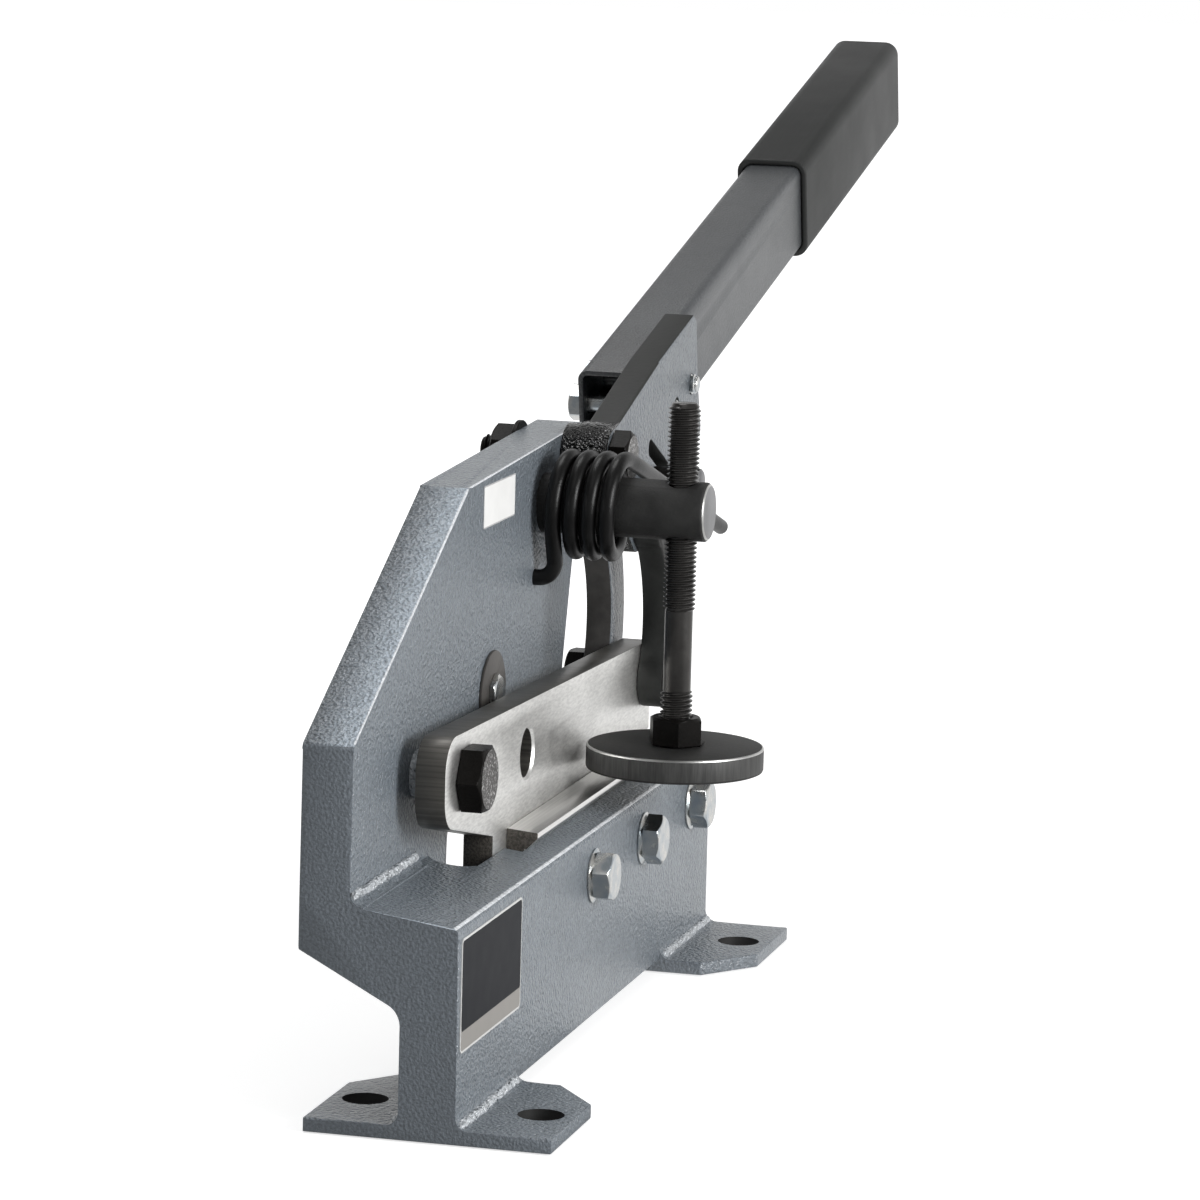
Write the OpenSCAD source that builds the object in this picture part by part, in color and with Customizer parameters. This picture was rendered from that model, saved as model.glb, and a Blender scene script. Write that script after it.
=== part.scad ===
// Bench lever shear with a hold-down screw and a lever return spring.
// X runs along the machine away from the blade pivot, Y to the rear, Z up.
// The origin is the centre of the bench hole pattern, on the bench.
// Heights and positions below are counted from the near end of the web (X),
// from the front face of the web (Y) and from the bench (Z), all in mm.

/* [Draw] */
// Which node is drawn

/* [Fits] */
// Radial gap of a part that turns or slides
run_clear = 0.05; // [0.02:0.01:0.1]
// Side gap between parts that pass each other
side_clear = 0.2; // [0.1:0.05:0.3]
// Radial gap of a fixed bolt in its hole
bolt_clear = 0.05; // [0.03:0.01:0.3]
// Gap between the spring's leg and the peg
leg_clear = 0.15; // [0.1:0.05:0.4]
// Radial gap round the spring's hook
hook_clear = 0.1; // [0.05:0.05:0.4]
// Extra depth of a cutting tool past a face
cut_over = 1; // [0.5:0.5:3]

/* [Web and feet] */
// Length of the web
web_l = 350; // [345:1:360]
// Thickness of the web
web_t = 20; // [19:0.5:21]
// Height of the web's top edge at its front face
web_top_z = 73.5; // [73:0.1:74]
// Slope of the web's and shelf's top, in degrees
top_slope = 7.1; // [6:0.1:8]
// Bright chamfer of the web's front top edge
web_edge_c = 1.6; // [1:0.1:2.5]
// Thickness of the feet
foot_t = 5; // [4:0.5:6]
// Length of a foot along the web
foot_l = 74; // [70:1:80]
// Reach of a foot beyond the web's faces
foot_over = 33.3; // [31:0.1:36]
// Inner corner chamfer of a foot, along the web
foot_corner_x = 22.6; // [18:0.1:26]
// Inner corner chamfer of a foot, across the web
foot_corner_y = 17; // [14:0.5:20]
// Bench hole diameter
bench_hole_d = 16; // [14:0.5:18]
// Bench holes from the web's ends
bench_hole_in = 31.5; // [28:0.5:34]
// Spacing of the bench holes across the web
bench_hole_w = 62; // [60:0.5:64]
// Radius of the weld between the web and a foot
foot_weld_r = 4.5; // [3:0.5:5]

/* [Shelf and arm] */
// Width of the throat between the web and the arm
throat_w = 18; // [17:0.5:19]
// Centre of the throat's round near end, along the web
throat_x = 93; // [90:1:96]
// How far short of that centre the shelf ends
shelf_short = 3.5; // [2:0.5:5]
// Height of the shelf's underside at the web's rear face
under_z = 43.7; // [42:0.1:46]
// Slope of the shelf's underside, in degrees
under_slope = 27.3; // [25:0.1:29]
// Thickness of the arm
arm_t = 18; // [17:0.5:19]
// Far end of the spine that joins arm and shelf
spine_l = 113; // [110:1:116]
// Height of the arm's near top corner
arm_near_z = 131.8; // [130:0.1:134]
// Peak of the arm's near slope, along the web
arm_peak_x = 130.3; // [128:0.1:133]
// Peak of the arm's near slope, height
arm_peak_z = 202.3; // [201:0.1:204]
// Far top corner of the arm, along the web
arm_top_x = 288.7; // [288:0.1:290]
// Far top corner of the arm, height
arm_top_z = 208.6; // [207.6:0.1:210]
// Corner at the foot of the far edge, along the web
arm_low_x = 265.2; // [263:0.1:267]
// Corner at the foot of the far edge, height
arm_low_z = 121.8; // [120:0.1:124]
// Lip under that corner, along the web
arm_lip_x = 262; // [260:1:264]
// Lip under that corner, height
arm_lip_z = 108; // [106:1:110]
// Underside of the arm where it meets the spine
arm_root_z = 92; // [90:1:95]
// Radius of the corner between arm and spine
arm_root_r = 15; // [12:1:18]
// Radius of the arm's outer corners
arm_corner_r = 3; // [1:0.5:4]
// Radius of the weld between the arm and the shelf
arm_weld_r = 4.5; // [3:0.5:5]
// Radius of the corner under the shelf
under_r = 8; // [6:0.5:9]

/* [Lower blade] */
// Near end of the lower blade
low_x0 = 127; // [126:0.5:130]
// Far end of the lower blade
low_x1 = 348; // [345:0.5:349]
// Near end of the rebate that it sits in
rebate_x0 = 124; // [122:0.5:125]
// Thickness of the blade's body
low_t = 6.5; // [6:0.1:8]
// Height of the rebate's seat
seat_z = 49; // [46:0.5:52]
// Height of the shearing edge
low_edge_z = 82.4; // [82:0.1:83]
// Fall of the top towards the front
low_fall = 1; // [0.5:0.1:1.5]
// How far the top's nose stands in front of the shearing face
nose_w = 11.3; // [10:0.1:12]
// Height of the nose's front land
nose_land = 2; // [1.5:0.1:3]
// First blade bolt along the web
low_bolt_x0 = 174; // [172:0.5:176]
// Second blade bolt along the web
low_bolt_x1 = 246; // [244:0.5:248]
// Third blade bolt along the web
low_bolt_x2 = 320; // [318:0.5:322]
// Height of the blade bolts
low_bolt_z = 57.8; // [57:0.1:59]
// Blade bolt radius
low_bolt_r = 5; // [4:0.5:5]
// Radius of the blade bolt's flange
flange_r = 10; // [9:0.1:11]
// Thickness of the blade bolt's flange
flange_t = 1.8; // [1.2:0.1:2.4]
// Blade bolt head across flats
low_bolt_af = 16.5; // [15:0.1:17]
// Height of the blade bolt's hex
low_bolt_h = 6.4; // [5:0.1:7]

/* [Moving blade] */
// Thickness of the moving blade
blade_t = 11; // [10:0.5:11]
// Blade pivot along the web
pivot_x = 73; // [72:0.5:75]
// Blade pivot height
pivot_z = 110.3; // [109:0.1:112]
// Near end of the blade
blade_x0 = 49; // [47:0.5:51]
// Radius of the blade's near corners
blade_corner_r = 12; // [10:0.5:12]
// Top of the near end
blade_near_z1 = 126.8; // [126:0.1:127.5]
// Bottom of the near end
blade_near_z0 = 94.2; // [93:0.1:95]
// Where the top edge starts to fall, along the web
blade_top_x = 139; // [137:1:141]
// Height there
blade_top_z = 124.5; // [124:0.1:125]
// Far end of the blade
blade_x1 = 330; // [328:0.5:331]
// Height of the far top corner
blade_far_z = 119.6; // [119:0.1:121]
// Radius of the far top corner
blade_far_r = 4; // [2:0.5:6]
// Rough step under the blade, along the web
step_x = 110; // [109:0.5:111]
// Top of the step
step_z = 82.5; // [81.5:0.1:84]
// Heel of the cutting edge
heel_z = 66; // [65:0.5:67]
// Height of the cutting edge at the far end
edge_far_z = 84; // [83.5:0.1:85]
// Plain hole along the web
plain_hole_x = 152.5; // [151:0.5:154]
// Plain hole height
plain_hole_z = 105.1; // [104:0.1:106]
// Plain hole diameter
plain_hole_d = 17.8; // [16:0.1:19]
// Blade pivot bolt radius
pivot_r = 7; // [6:0.5:7]
// Blade pivot bolt head across flats
pivot_af = 21.7; // [21:0.1:22]
// Blade pivot bolt head height
pivot_head_h = 8.8; // [8:0.1:9]
// Blade pivot nut height
pivot_nut_h = 11; // [10:0.5:12]
// Bolt end standing past the nut
pivot_end = 3; // [1:0.5:5]
// Outer radius of the ring behind the blade
pivot_ring_r = 8.6; // [8.2:0.1:9]
// Guide disc along the web
guide_x = 165.5; // [165:0.1:166]
// Guide disc height
guide_z = 123.3; // [122.5:0.1:124]
// Guide disc radius
guide_r = 15.8; // [15.4:0.1:16.4]
// Guide disc thickness
guide_t = 1.2; // [1:0.1:1.5]
// Guide bolt radius
guide_bolt_r = 3; // [2.5:0.5:3]
// Guide bolt head across flats
guide_af = 13; // [12.5:0.1:13.4]
// Guide bolt head height
guide_head_h = 2.4; // [2:0.1:2.8]

/* [Lever] */
// Lever pivot along the web
lever_x = 264; // [263.5:0.5:265]
// Lever pivot height
lever_z = 198.5; // [198:0.1:199]
// Lever plate thickness
lever_t = 12; // [11:0.5:12]
// Radius of the lever's two hubs
hub_r = 13; // [12.5:0.1:13.2]
// Lever bolt radius
lever_bolt_r = 6; // [5:0.5:6]
// Lever bolt head across flats
lever_af = 18; // [17:0.1:18.5]
// Lever bolt head height
lever_head_h = 7.4; // [6:0.1:7.8]
// Washer radius under the lever nut
washer_r = 12; // [11:0.5:12.5]
// Washer thickness under the lever nut
washer_t = 2; // [1.5:0.5:2.5]
// Lever nut height
lever_nut_h = 8.5; // [7:0.5:10]
// Bolt end standing past the lever nut
lever_end = 4.5; // [2:0.5:6]
// Ring radius between lever plate and arm
lever_ring_r = 12; // [11:0.5:12.5]
// Plate's top edge near the hub, along the web
plate_a_x = 268; // [267:0.5:270]
// Plate's top edge near the hub, height
plate_a_z = 209.3; // [208.5:0.1:210]
// Plate's top edge at its bend, along the web
plate_b_x = 329.6; // [327:0.1:332]
// Plate's top edge at its bend, height
plate_b_z = 227.8; // [227:0.1:229]
// Plate's far top corner, along the web
plate_c_x = 384.3; // [383:0.1:386]
// Plate's far top corner, height
plate_c_z = 240.8; // [240:0.1:242]
// Plate's clipped corner, along the web
plate_d_x = 389.6; // [389:0.1:391]
// Plate's clipped corner, height
plate_d_z = 238.3; // [237:0.1:239]
// Plate's far edge, along the web
plate_e_x = 393.8; // [393:0.1:395]
// Plate's far edge, height
plate_e_z = 217.2; // [216:0.1:218]
// Plate's far low corner, along the web
plate_f_x = 397.5; // [396:0.1:399]
// Plate's far low corner, height
plate_f_z = 194.5; // [194:0.1:196]
// Radius of the plate's far low corner
plate_f_r = 4; // [3:0.5:5]
// Slot in the plate, near end along the web
slot_x0 = 321; // [320:0.5:322]
// Slot in the plate, near end height
slot_z0 = 195.3; // [195:0.1:196]
// Slot in the plate, far end along the web
slot_x1 = 347; // [346:0.5:348]
// Slot in the plate, far end height
slot_z1 = 183.8; // [183.5:0.1:185]
// Width of the slot
slot_w = 6.4; // [5:0.1:6.8]

/* [Handle] */
// Angle of the handle above level, in degrees
tube_tilt = 12.9; // [12:0.1:14]
// Tube thickness across the machine
tube_w = 25.4; // [25:0.1:26]
// Tube height
tube_h = 38.1; // [37:0.1:39]
// Tube wall
tube_wall = 2; // [1.5:0.1:3]
// Outer corner radius of the tube
tube_r = 4; // [3:0.5:5]
// Tube length
tube_l = 471; // [460:1:480]
// Centre of the tube's open near end, along the web
mouth_x = 352.5; // [352:0.5:354]
// Centre of the tube's open near end, height
mouth_z = 202; // [201:0.5:203]
// Start of the grip along the tube
grip_s = 279; // [270:1:285]
// Grip wall
grip_wall = 2.5; // [2:0.1:3]
// Gap between grip and tube
grip_gap = 0.3; // [0.1:0.1:0.5]
// Thickness of the grip's closed end
grip_cap = 2.3; // [2:0.1:3]
// Outer corner radius of the grip
grip_r = 6; // [5:0.5:7]
// First tube bolt along the web
tube_bolt_x0 = 361; // [360.5:0.5:362]
// First tube bolt height
tube_bolt_z0 = 206.5; // [206:0.5:207]
// Second tube bolt along the web
tube_bolt_x1 = 384; // [383:0.5:385]
// Second tube bolt height
tube_bolt_z1 = 213.5; // [212.5:0.5:214]
// Tube bolt radius
tube_bolt_r = 4; // [3:0.5:4]
// Tube bolt head across flats
tube_bolt_af = 13; // [12:0.1:13.5]
// Tube bolt head height
tube_bolt_h = 5.3; // [4.5:0.1:6]
// Threaded end of the second bolt in front of the plate
tube_bolt_end = 2.7; // [1:0.1:4]

/* [Links] */
// Upper link pivot along the web
up_x = 305; // [304.5:0.5:305.5]
// Upper link pivot height
up_z = 170; // [169.5:0.5:170.5]
// Lower link pivot along the web
lo_x = 319; // [318.5:0.5:319.5]
// Lower link pivot height
lo_z = 106; // [105.5:0.5:106.5]
// Link thickness
link_t = 10; // [9:0.5:10]
// Half width of a link's band
link_half = 10; // [9:0.5:10.5]
// Radius of a link's ends
link_end_r = 11; // [11:0.1:11.5]
// Radius of the link's bow
link_bow_r = 54.3; // [50:0.1:60]
// Upper pin radius
up_pin_r = 5; // [4.5:0.1:5]
// Radial slack of the upper pin's hole in the lever plate, the opened pivot
up_slack = 2.45; // [2.4:0.05:2.7]
// Upper pin head radius
up_head_r = 6.2; // [5.8:0.1:6.4]
// Upper pin head height
up_head_h = 1.4; // [1:0.1:1.6]
// Lower bolt radius
lo_bolt_r = 6; // [5:0.5:6]
// Lower bolt head across flats
lo_af = 18; // [17:0.1:18.5]
// Lower bolt head height
lo_head_h = 6.5; // [5:0.1:7]
// Lower nut height
lo_nut_h = 7.6; // [6:0.1:9]

/* [Spring] */
// Bar through the spring, along the web
bar_x = 232; // [231.5:0.5:232.5]
// Bar height
bar_z = 184.5; // [184:0.1:185]
// Bar radius
bar_r = 11; // [10.5:0.1:11.5]
// Reach of the bar in front of the web
bar_reach = 25.3; // [24:0.1:28]
// Chamfer of the bar's end
bar_c = 1.2; // [0.8:0.1:1.6]
// Spring wire diameter
wire_d = 6; // [5:0.1:6.1]
// Mean radius of the coil
coil_r = 17.5; // [17:0.1:17.7]
// Pitch of the coil
coil_pitch = 6.8; // [6.7:0.05:7]
// Coil's rear end from the web's front face
coil_y0 = 30.3; // [30:0.1:30.8]
// Where the rear leg leaves the coil, in degrees
rear_ang = 200; // [198:1:202]
// Where the front leg leaves the coil, in degrees
front_ang = 73.3; // [72.8:0.1:73.8]
// Full turns between the two
coil_turns = 3; // [3:1:3]
// Rings of the form in one turn
turn_rings = 24; // [18:2:30]
// Sides of the form
wire_sides = 6; // [6:1:8]
// Hook's height where it enters the arm
hook_z = 158; // [157:0.5:159]
// Radius of the hook's bend
hook_r = 6; // [5:0.5:7]
// Length of the hook in the arm
hook_l = 7; // [7:0.5:10]
// Front leg's length
leg_l = 153; // [145:1:156]
// Front leg's plane from the web's front face
leg_y = 6.6; // [6.5:0.05:6.7]
// Length over which the leg leaves the coil's pitch
leg_ease = 16; // [12:1:20]
// Peg along the web
peg_x = 328; // [327.5:0.5:328.5]
// Peg radius
peg_r = 5; // [4.6:0.1:5]
// Peg's reach in front of the lever plate
peg_l = 19.2; // [17:0.1:21]
// Chamfer of the peg's end
peg_c = 1; // [0.5:0.1:1.5]

/* [Hold-down] */
// Rod's axis in front of the web
rod_out = 14.6; // [14.2:0.1:15]
// Rod radius
rod_r = 6; // [5.5:0.1:6]
// Top of the rod
rod_top_z = 224.5; // [215:0.5:230]
// Lower end of the rod's upper thread
rod_thread_z = 146.6; // [140:0.1:150]
// Radius of the plain shank
shank_r = 5.2; // [4.8:0.1:5.4]
// Lower end of the plain shank
shank_z = 118.5; // [115:0.5:122]
// Pad radius
pad_r = 33; // [32:0.1:33.6]
// Underside of the pad
pad_z = 88; // [87.5:0.1:89]
// Pad thickness
pad_t = 9; // [8:0.5:10]
// Floor under the rod in the pad
pad_floor = 3; // [2:0.5:4]
// Clamp nut across flats
clamp_af = 18; // [17:0.1:18.5]
// Clamp nut height
clamp_nut_h = 10.6; // [9:0.1:12]

/* [Hidden] */
$fn = 64;
corner_fn = 32;
org_x = web_l / 2;
org_y = web_t / 2;
arm_y = web_t + throat_w;
arm_y1 = arm_y + arm_t;
seat_y = web_t - low_t;
blade_y = web_t + side_clear;
blade_y1 = blade_y + blade_t;
lever_y = web_t + side_clear;
lever_y1 = lever_y + lever_t;
tube_y = lever_y1 + tube_w / 2;
tube_y1 = lever_y1 + tube_w;
link_rear_y = lever_y1 + side_clear;
link_rear_y1 = link_rear_y + link_t;
link_front_y = web_t - link_t;
head_y = web_t - side_clear / 2;
head_lever_y = lever_y - side_clear / 2;
rod_y = -rod_out;
under_mid_z = under(web_t + under_r) - under_r / cos(under_slope);
under_end_y = web_t + under_r - under_r * sin(under_slope);
nose_z = low_edge_z - low_fall;
nose_y = web_t - nose_w;
under_nose_z = top_z(seat_y) + side_clear;
under_nose_y = nose_y + nose_z - nose_land - under_nose_z;
coil_sweep = coil_turns * 360 + rear_ang - front_ang;
coil_steps = round(coil_sweep * turn_rings / 360);
wire_r = wire_d / 2;
leg_ang = front_ang - 90;
leg_x0 = bar_x + coil_r * cos(front_ang);
leg_z0 = bar_z + coil_r * sin(front_ang);
peg_off = wire_r + peg_r + leg_clear;
peg_z = leg_z0 + (peg_x - leg_x0) * tan(leg_ang) + peg_off / cos(leg_ang);
link_dx = up_x - lo_x;
link_dz = up_z - lo_z;
link_len = sqrt(link_dx * link_dx + link_dz * link_dz);
link_nx = link_dz / link_len;
link_nz = -link_dx / link_len;
bow_d = sqrt(link_bow_r * link_bow_r - link_len * link_len / 4);
bow_x = (up_x + lo_x) / 2 - bow_d * link_nx;
bow_z = (up_z + lo_z) / 2 - bow_d * link_nz;
bow_a0 = atan2(lo_z - bow_z, lo_x - bow_x);
bow_a1 = atan2(up_z - bow_z, up_x - bow_x);
bow_steps = 16;

function top_z(y) = web_top_z + y * tan(top_slope);
function under(y) = under_z + (y - web_t) * tan(under_slope);

module placed() translate([-org_x, -org_y, 0]) children();

// An X-Z outline made into a plate from y0 to y1
module slab(y0, y1) translate([0, y1, 0]) rotate([90, 0, 0]) linear_extrude(y1 - y0) children();

// A Y-Z outline made into a bar from x0 to x1
module run(x0, x1) translate([x0, 0, 0]) rotate([90, 0, 90]) linear_extrude(x1 - x0) children();

// A round bar along Y
module round_y(x, z, y0, y1, r) translate([x, y1, z]) rotate([90, 0, 0]) cylinder(h = y1 - y0, r = r);

// A hexagon along Y
module hex_y(x, z, y0, y1, af, turn) translate([x, y1, z]) rotate([90, 0, 0]) rotate([0, 0, turn])
    cylinder(h = y1 - y0, r = af / sqrt(3), $fn = 6);

// A rectangle with round corners about the middle
module round_rect(w, h, r) hull() for (sx = [-1, 1], sy = [-1, 1])
    translate([sx * (w / 2 - r), sy * (h / 2 - r)]) circle(r, $fn = corner_fn);

// The frame of the handle: its X runs along the tube from the open near end
module on_tube() translate([mouth_x, tube_y, mouth_z]) rotate([0, -tube_tilt, 0]) children();

// The filling of a square inside corner, which sinks by cut_over past its left side
module filling(r) difference() {
    translate([-cut_over, 0]) square([r + cut_over, r]);
    translate([r, r]) circle(r);
}

module foot_welds(x0, x1) {
    run(x0, x1) translate([web_t, foot_t]) filling(foot_weld_r);
    run(x0, x1) translate([0, foot_t]) mirror([1, 0]) filling(foot_weld_r);
}

module web() color([0.42, 0.47, 0.53]) placed() difference() {
    union() {
        run(0, web_l) polygon([[0, foot_t], [web_t, foot_t], [web_t, top_z(web_t)],
            [web_edge_c, top_z(web_edge_c)], [0, web_top_z - web_edge_c]]);
        foot_welds(0, foot_l);
        foot_welds(web_l - foot_l, web_l);
    }
    translate([rebate_x0, seat_y, seat_z]) cube([web_l, web_t, web_top_z]);
    for (x = [low_bolt_x0, low_bolt_x1, low_bolt_x2])
        round_y(x, low_bolt_z, -cut_over, web_t, low_bolt_r + bolt_clear);
}

// The round corner between the web's rear face and the shelf's underside
module under_corner() difference() {
    polygon([[web_t, under_mid_z], [under_end_y, under(under_end_y)],
        [under_end_y, under(under_end_y) + cut_over], [web_t, under_z + cut_over]]);
    translate([web_t + under_r, under_mid_z]) circle(under_r);
}

module shelf() color([0.42, 0.47, 0.53]) placed() difference() {
    union() {
        run(0, throat_x - shelf_short) polygon([[web_t, under(web_t)], [arm_y, under(arm_y)],
            [arm_y, top_z(arm_y)], [web_t, top_z(web_t)]]);
        run(0, throat_x - shelf_short) under_corner();
        run(0, throat_x - throat_w) difference() {
            translate([arm_y - arm_weld_r, top_z(arm_y) - cut_over])
                square([arm_weld_r, arm_weld_r + cut_over]);
            translate([arm_y - arm_weld_r, top_z(arm_y) + arm_weld_r]) circle(arm_weld_r);
        }
    }
    translate([throat_x, web_t + throat_w / 2, 0]) cylinder(h = arm_peak_z, r = throat_w / 2);
}

module arm_outline() {
    offset(r = arm_corner_r, $fn = corner_fn) offset(delta = -arm_corner_r) difference() {
        polygon([[0, -arm_root_z], [0, arm_near_z], [arm_peak_x, arm_peak_z],
            [arm_top_x, arm_top_z], [arm_low_x, arm_low_z], [arm_lip_x, arm_lip_z],
            [spine_l + arm_root_r, arm_root_z], [spine_l, arm_root_z - arm_root_r], [spine_l, -arm_root_z]]);
        translate([spine_l + arm_root_r, arm_root_z - arm_root_r]) circle(arm_root_r);
    }
}

module arm() color([0.42, 0.47, 0.53]) placed() difference() {
    slab(arm_y, arm_y1) arm_outline();
    run(-cut_over, web_l) polygon([[arm_y - cut_over, under(arm_y - cut_over)],
        [arm_y1 + cut_over, under(arm_y1 + cut_over)],
        [arm_y1 + cut_over, -web_l], [arm_y - cut_over, -web_l]]);
    round_y(lever_x, lever_z, 0, web_l, lever_bolt_r + bolt_clear);
    round_y(pivot_x, pivot_z, 0, web_l, pivot_r + bolt_clear);
    round_y(bar_x, bar_z, 0, web_l, bar_r + bolt_clear);
    round_y(hook_x, hook_z, 0, web_l, wire_r + hook_clear);
    round_y(guide_x, guide_z, 0, web_l, guide_bolt_r + bolt_clear);
}

module foot_outline() polygon([[0, -foot_over], [foot_l - foot_corner_x, -foot_over],
    [foot_l, foot_corner_y - foot_over], [foot_l, web_t + foot_over - foot_corner_y],
    [foot_l - foot_corner_x, web_t + foot_over], [0, web_t + foot_over]]);

module foot() difference() {
    linear_extrude(foot_t) foot_outline();
    for (s = [-1, 1]) translate([bench_hole_in, org_y + s * bench_hole_w / 2, -cut_over])
        cylinder(h = foot_t + 2 * cut_over, d = bench_hole_d);
}

module foot_near() color([0.42, 0.47, 0.53]) placed() foot();

module foot_far() color([0.42, 0.47, 0.53]) placed() translate([web_l, web_t, 0]) rotate([0, 0, 180]) foot();

module lower_blade() color([0.78, 0.78, 0.76]) placed() difference() {
    run(low_x0, low_x1) polygon([[seat_y, seat_z], [web_t, seat_z], [web_t, low_edge_z],
        [nose_y, nose_z], [nose_y, nose_z - nose_land], [under_nose_y, under_nose_z],
        [seat_y, under_nose_z]]);
    for (x = [low_bolt_x0, low_bolt_x1, low_bolt_x2])
        round_y(x, low_bolt_z, 0, web_t + cut_over, low_bolt_r + bolt_clear);
}

module blade_bolts() color([0.74, 0.75, 0.74]) placed()
    for (x = [low_bolt_x0, low_bolt_x1, low_bolt_x2]) union() {
        round_y(x, low_bolt_z, -flange_t, 0, flange_r);
        hex_y(x, low_bolt_z, -flange_t - low_bolt_h, -flange_t, low_bolt_af, 30);
        round_y(x, low_bolt_z, -flange_t, web_t - side_clear, low_bolt_r);
    }

module crossbar() color([0.16, 0.16, 0.17]) placed() difference() {
    union() {
        round_y(bar_x, bar_z, bar_c - bar_reach, arm_y1, bar_r);
        translate([bar_x, bar_c - bar_reach, bar_z]) rotate([90, 0, 0])
            cylinder(h = bar_c, r1 = bar_r, r2 = bar_r - bar_c);
    }
    translate([bar_x, rod_y, 0]) cylinder(h = arm_peak_z + bar_z, r = rod_r + run_clear);
}

// The spring's centre line: hook in the arm, bend, rear leg, coil, front leg
coil_x = bar_x + coil_r * cos(rear_ang);
coil_z = bar_z + coil_r * sin(rear_ang);
hook_top_z = hook_z + hook_r;
hook_x = coil_x + (coil_z - hook_top_z) / tan(180 - (rear_ang - 90)) ;
hook_y = coil_y0 + hook_r;
bend_steps = 6;
ease_steps = 4;
coil_y1 = coil_y0 - coil_pitch * coil_sweep / 360;
spring_path = concat(
    [[hook_x, hook_y + hook_l + wire_d, hook_z], [hook_x, hook_y + hook_l, hook_z]],
    [for (i = [0 : bend_steps]) let(a = 90 * i / bend_steps)
        [hook_x, hook_y - hook_r * sin(a), hook_top_z - hook_r * cos(a)]],
    [for (i = [0 : coil_steps]) let(a = rear_ang - coil_sweep * i / coil_steps)
        [bar_x + coil_r * cos(a), coil_y0 - coil_pitch * coil_sweep * i / coil_steps / 360,
            bar_z + coil_r * sin(a)]],
    [for (i = [1 : ease_steps]) let(s = leg_ease * i / ease_steps, u = i / ease_steps)
        [leg_x0 + s * cos(leg_ang), coil_y1 + (leg_y - coil_y1) * u * (2 - u), leg_z0 + s * sin(leg_ang)]],
    [for (s = [leg_l / 2, leg_l - wire_d, leg_l])
        [leg_x0 + s * cos(leg_ang), leg_y, leg_z0 + s * sin(leg_ang)]]);
path_n = len(spring_path);
function unit(v) = v / norm(v);
tangents = [for (i = [0 : path_n - 1])
    unit(spring_path[min(i + 1, path_n - 1)] - spring_path[max(i - 1, 0)])];
normals = [for (i = 0, n = [1, 0, 0]; i < path_n;
    i = i + 1, n = i < path_n ? unit(n - (n * tangents[i]) * tangents[i]) : n) n];
apart = ceil(turn_rings / 3);
gaps = [for (i = [0 : path_n - 1 - apart]) for (j = [i + apart : path_n - 1])
    norm(spring_path[i] - spring_path[j])];
echo("spring least gap to itself, mm", min(gaps) - wire_d);

module spring() color([0.2, 0.2, 0.21]) placed() {
    pts = [for (i = [0 : path_n - 1]) for (k = [0 : wire_sides - 1])
        let(a = 360 * k / wire_sides, b = cross(tangents[i], normals[i]))
        spring_path[i] + wire_r * (cos(a) * normals[i] + sin(a) * b)];
    sides = [for (i = [0 : path_n - 2]) for (k = [0 : wire_sides - 1])
        let(m = (k + 1) % wire_sides, p = i * wire_sides, q = p + wire_sides)
        each [[p + k, q + k, q + m], [p + k, q + m, p + m]]];
    last = (path_n - 1) * wire_sides;
    polyhedron(points = pts, faces = concat(sides,
        [[for (k = [0 : wire_sides - 1]) k]],
        [[for (k = [wire_sides - 1 : -1 : 0]) last + k]]), convexity = 8);
}

module guide_disc() color([0.42, 0.47, 0.53]) placed() difference() {
    round_y(guide_x, guide_z, arm_y - guide_t, arm_y, guide_r);
    round_y(guide_x, guide_z, 0, arm_y + cut_over, guide_bolt_r + bolt_clear);
}

module guide_bolt() color([0.74, 0.75, 0.74]) placed() union() {
    hex_y(guide_x, guide_z, arm_y - guide_t - guide_head_h, arm_y - guide_t, guide_af, 30);
    round_y(guide_x, guide_z, arm_y - guide_t - guide_head_h / 2, arm_y1, guide_bolt_r);
}

module lever_bolt() color([0.14, 0.14, 0.15]) placed() union() {
    hex_y(lever_x, lever_z, head_lever_y - lever_head_h, head_lever_y, lever_af, 30);
    round_y(lever_x, lever_z, head_lever_y - lever_head_h / 2,
        arm_y1 + washer_t + lever_nut_h + lever_end, lever_bolt_r);
}

module lever_nut() color([0.14, 0.14, 0.15]) placed() difference() {
    union() {
        round_y(lever_x, lever_z, arm_y1, arm_y1 + washer_t, washer_r);
        hex_y(lever_x, lever_z, arm_y1 + washer_t, arm_y1 + washer_t + lever_nut_h, lever_af, 30);
    }
    round_y(lever_x, lever_z, 0, web_l, lever_bolt_r + bolt_clear);
}

module lever_spacer() color([0.3, 0.3, 0.31]) placed() difference() {
    round_y(lever_x, lever_z, lever_y1 + side_clear / 2, arm_y, lever_ring_r);
    round_y(lever_x, lever_z, 0, web_l, lever_bolt_r + bolt_clear);
}

module pivot_bolt() color([0.14, 0.14, 0.15]) placed() union() {
    hex_y(pivot_x, pivot_z, head_lever_y - pivot_head_h, head_lever_y, pivot_af, 0);
    round_y(pivot_x, pivot_z, head_lever_y - pivot_head_h / 2, arm_y1 + pivot_nut_h + pivot_end, pivot_r);
}

module pivot_nut() color([0.14, 0.14, 0.15]) placed() difference() {
    hex_y(pivot_x, pivot_z, arm_y1, arm_y1 + pivot_nut_h, pivot_af, 0);
    round_y(pivot_x, pivot_z, 0, web_l, pivot_r + bolt_clear);
}

module pivot_spacer() color([0.42, 0.47, 0.53]) placed() difference() {
    round_y(pivot_x, pivot_z, blade_y1 + side_clear / 2, arm_y, pivot_ring_r);
    round_y(pivot_x, pivot_z, 0, web_l, pivot_r + bolt_clear);
}

// A round corner of the blade's outline
module corner(x, z, r) translate([x, z]) circle(r, $fn = corner_fn);

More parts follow.
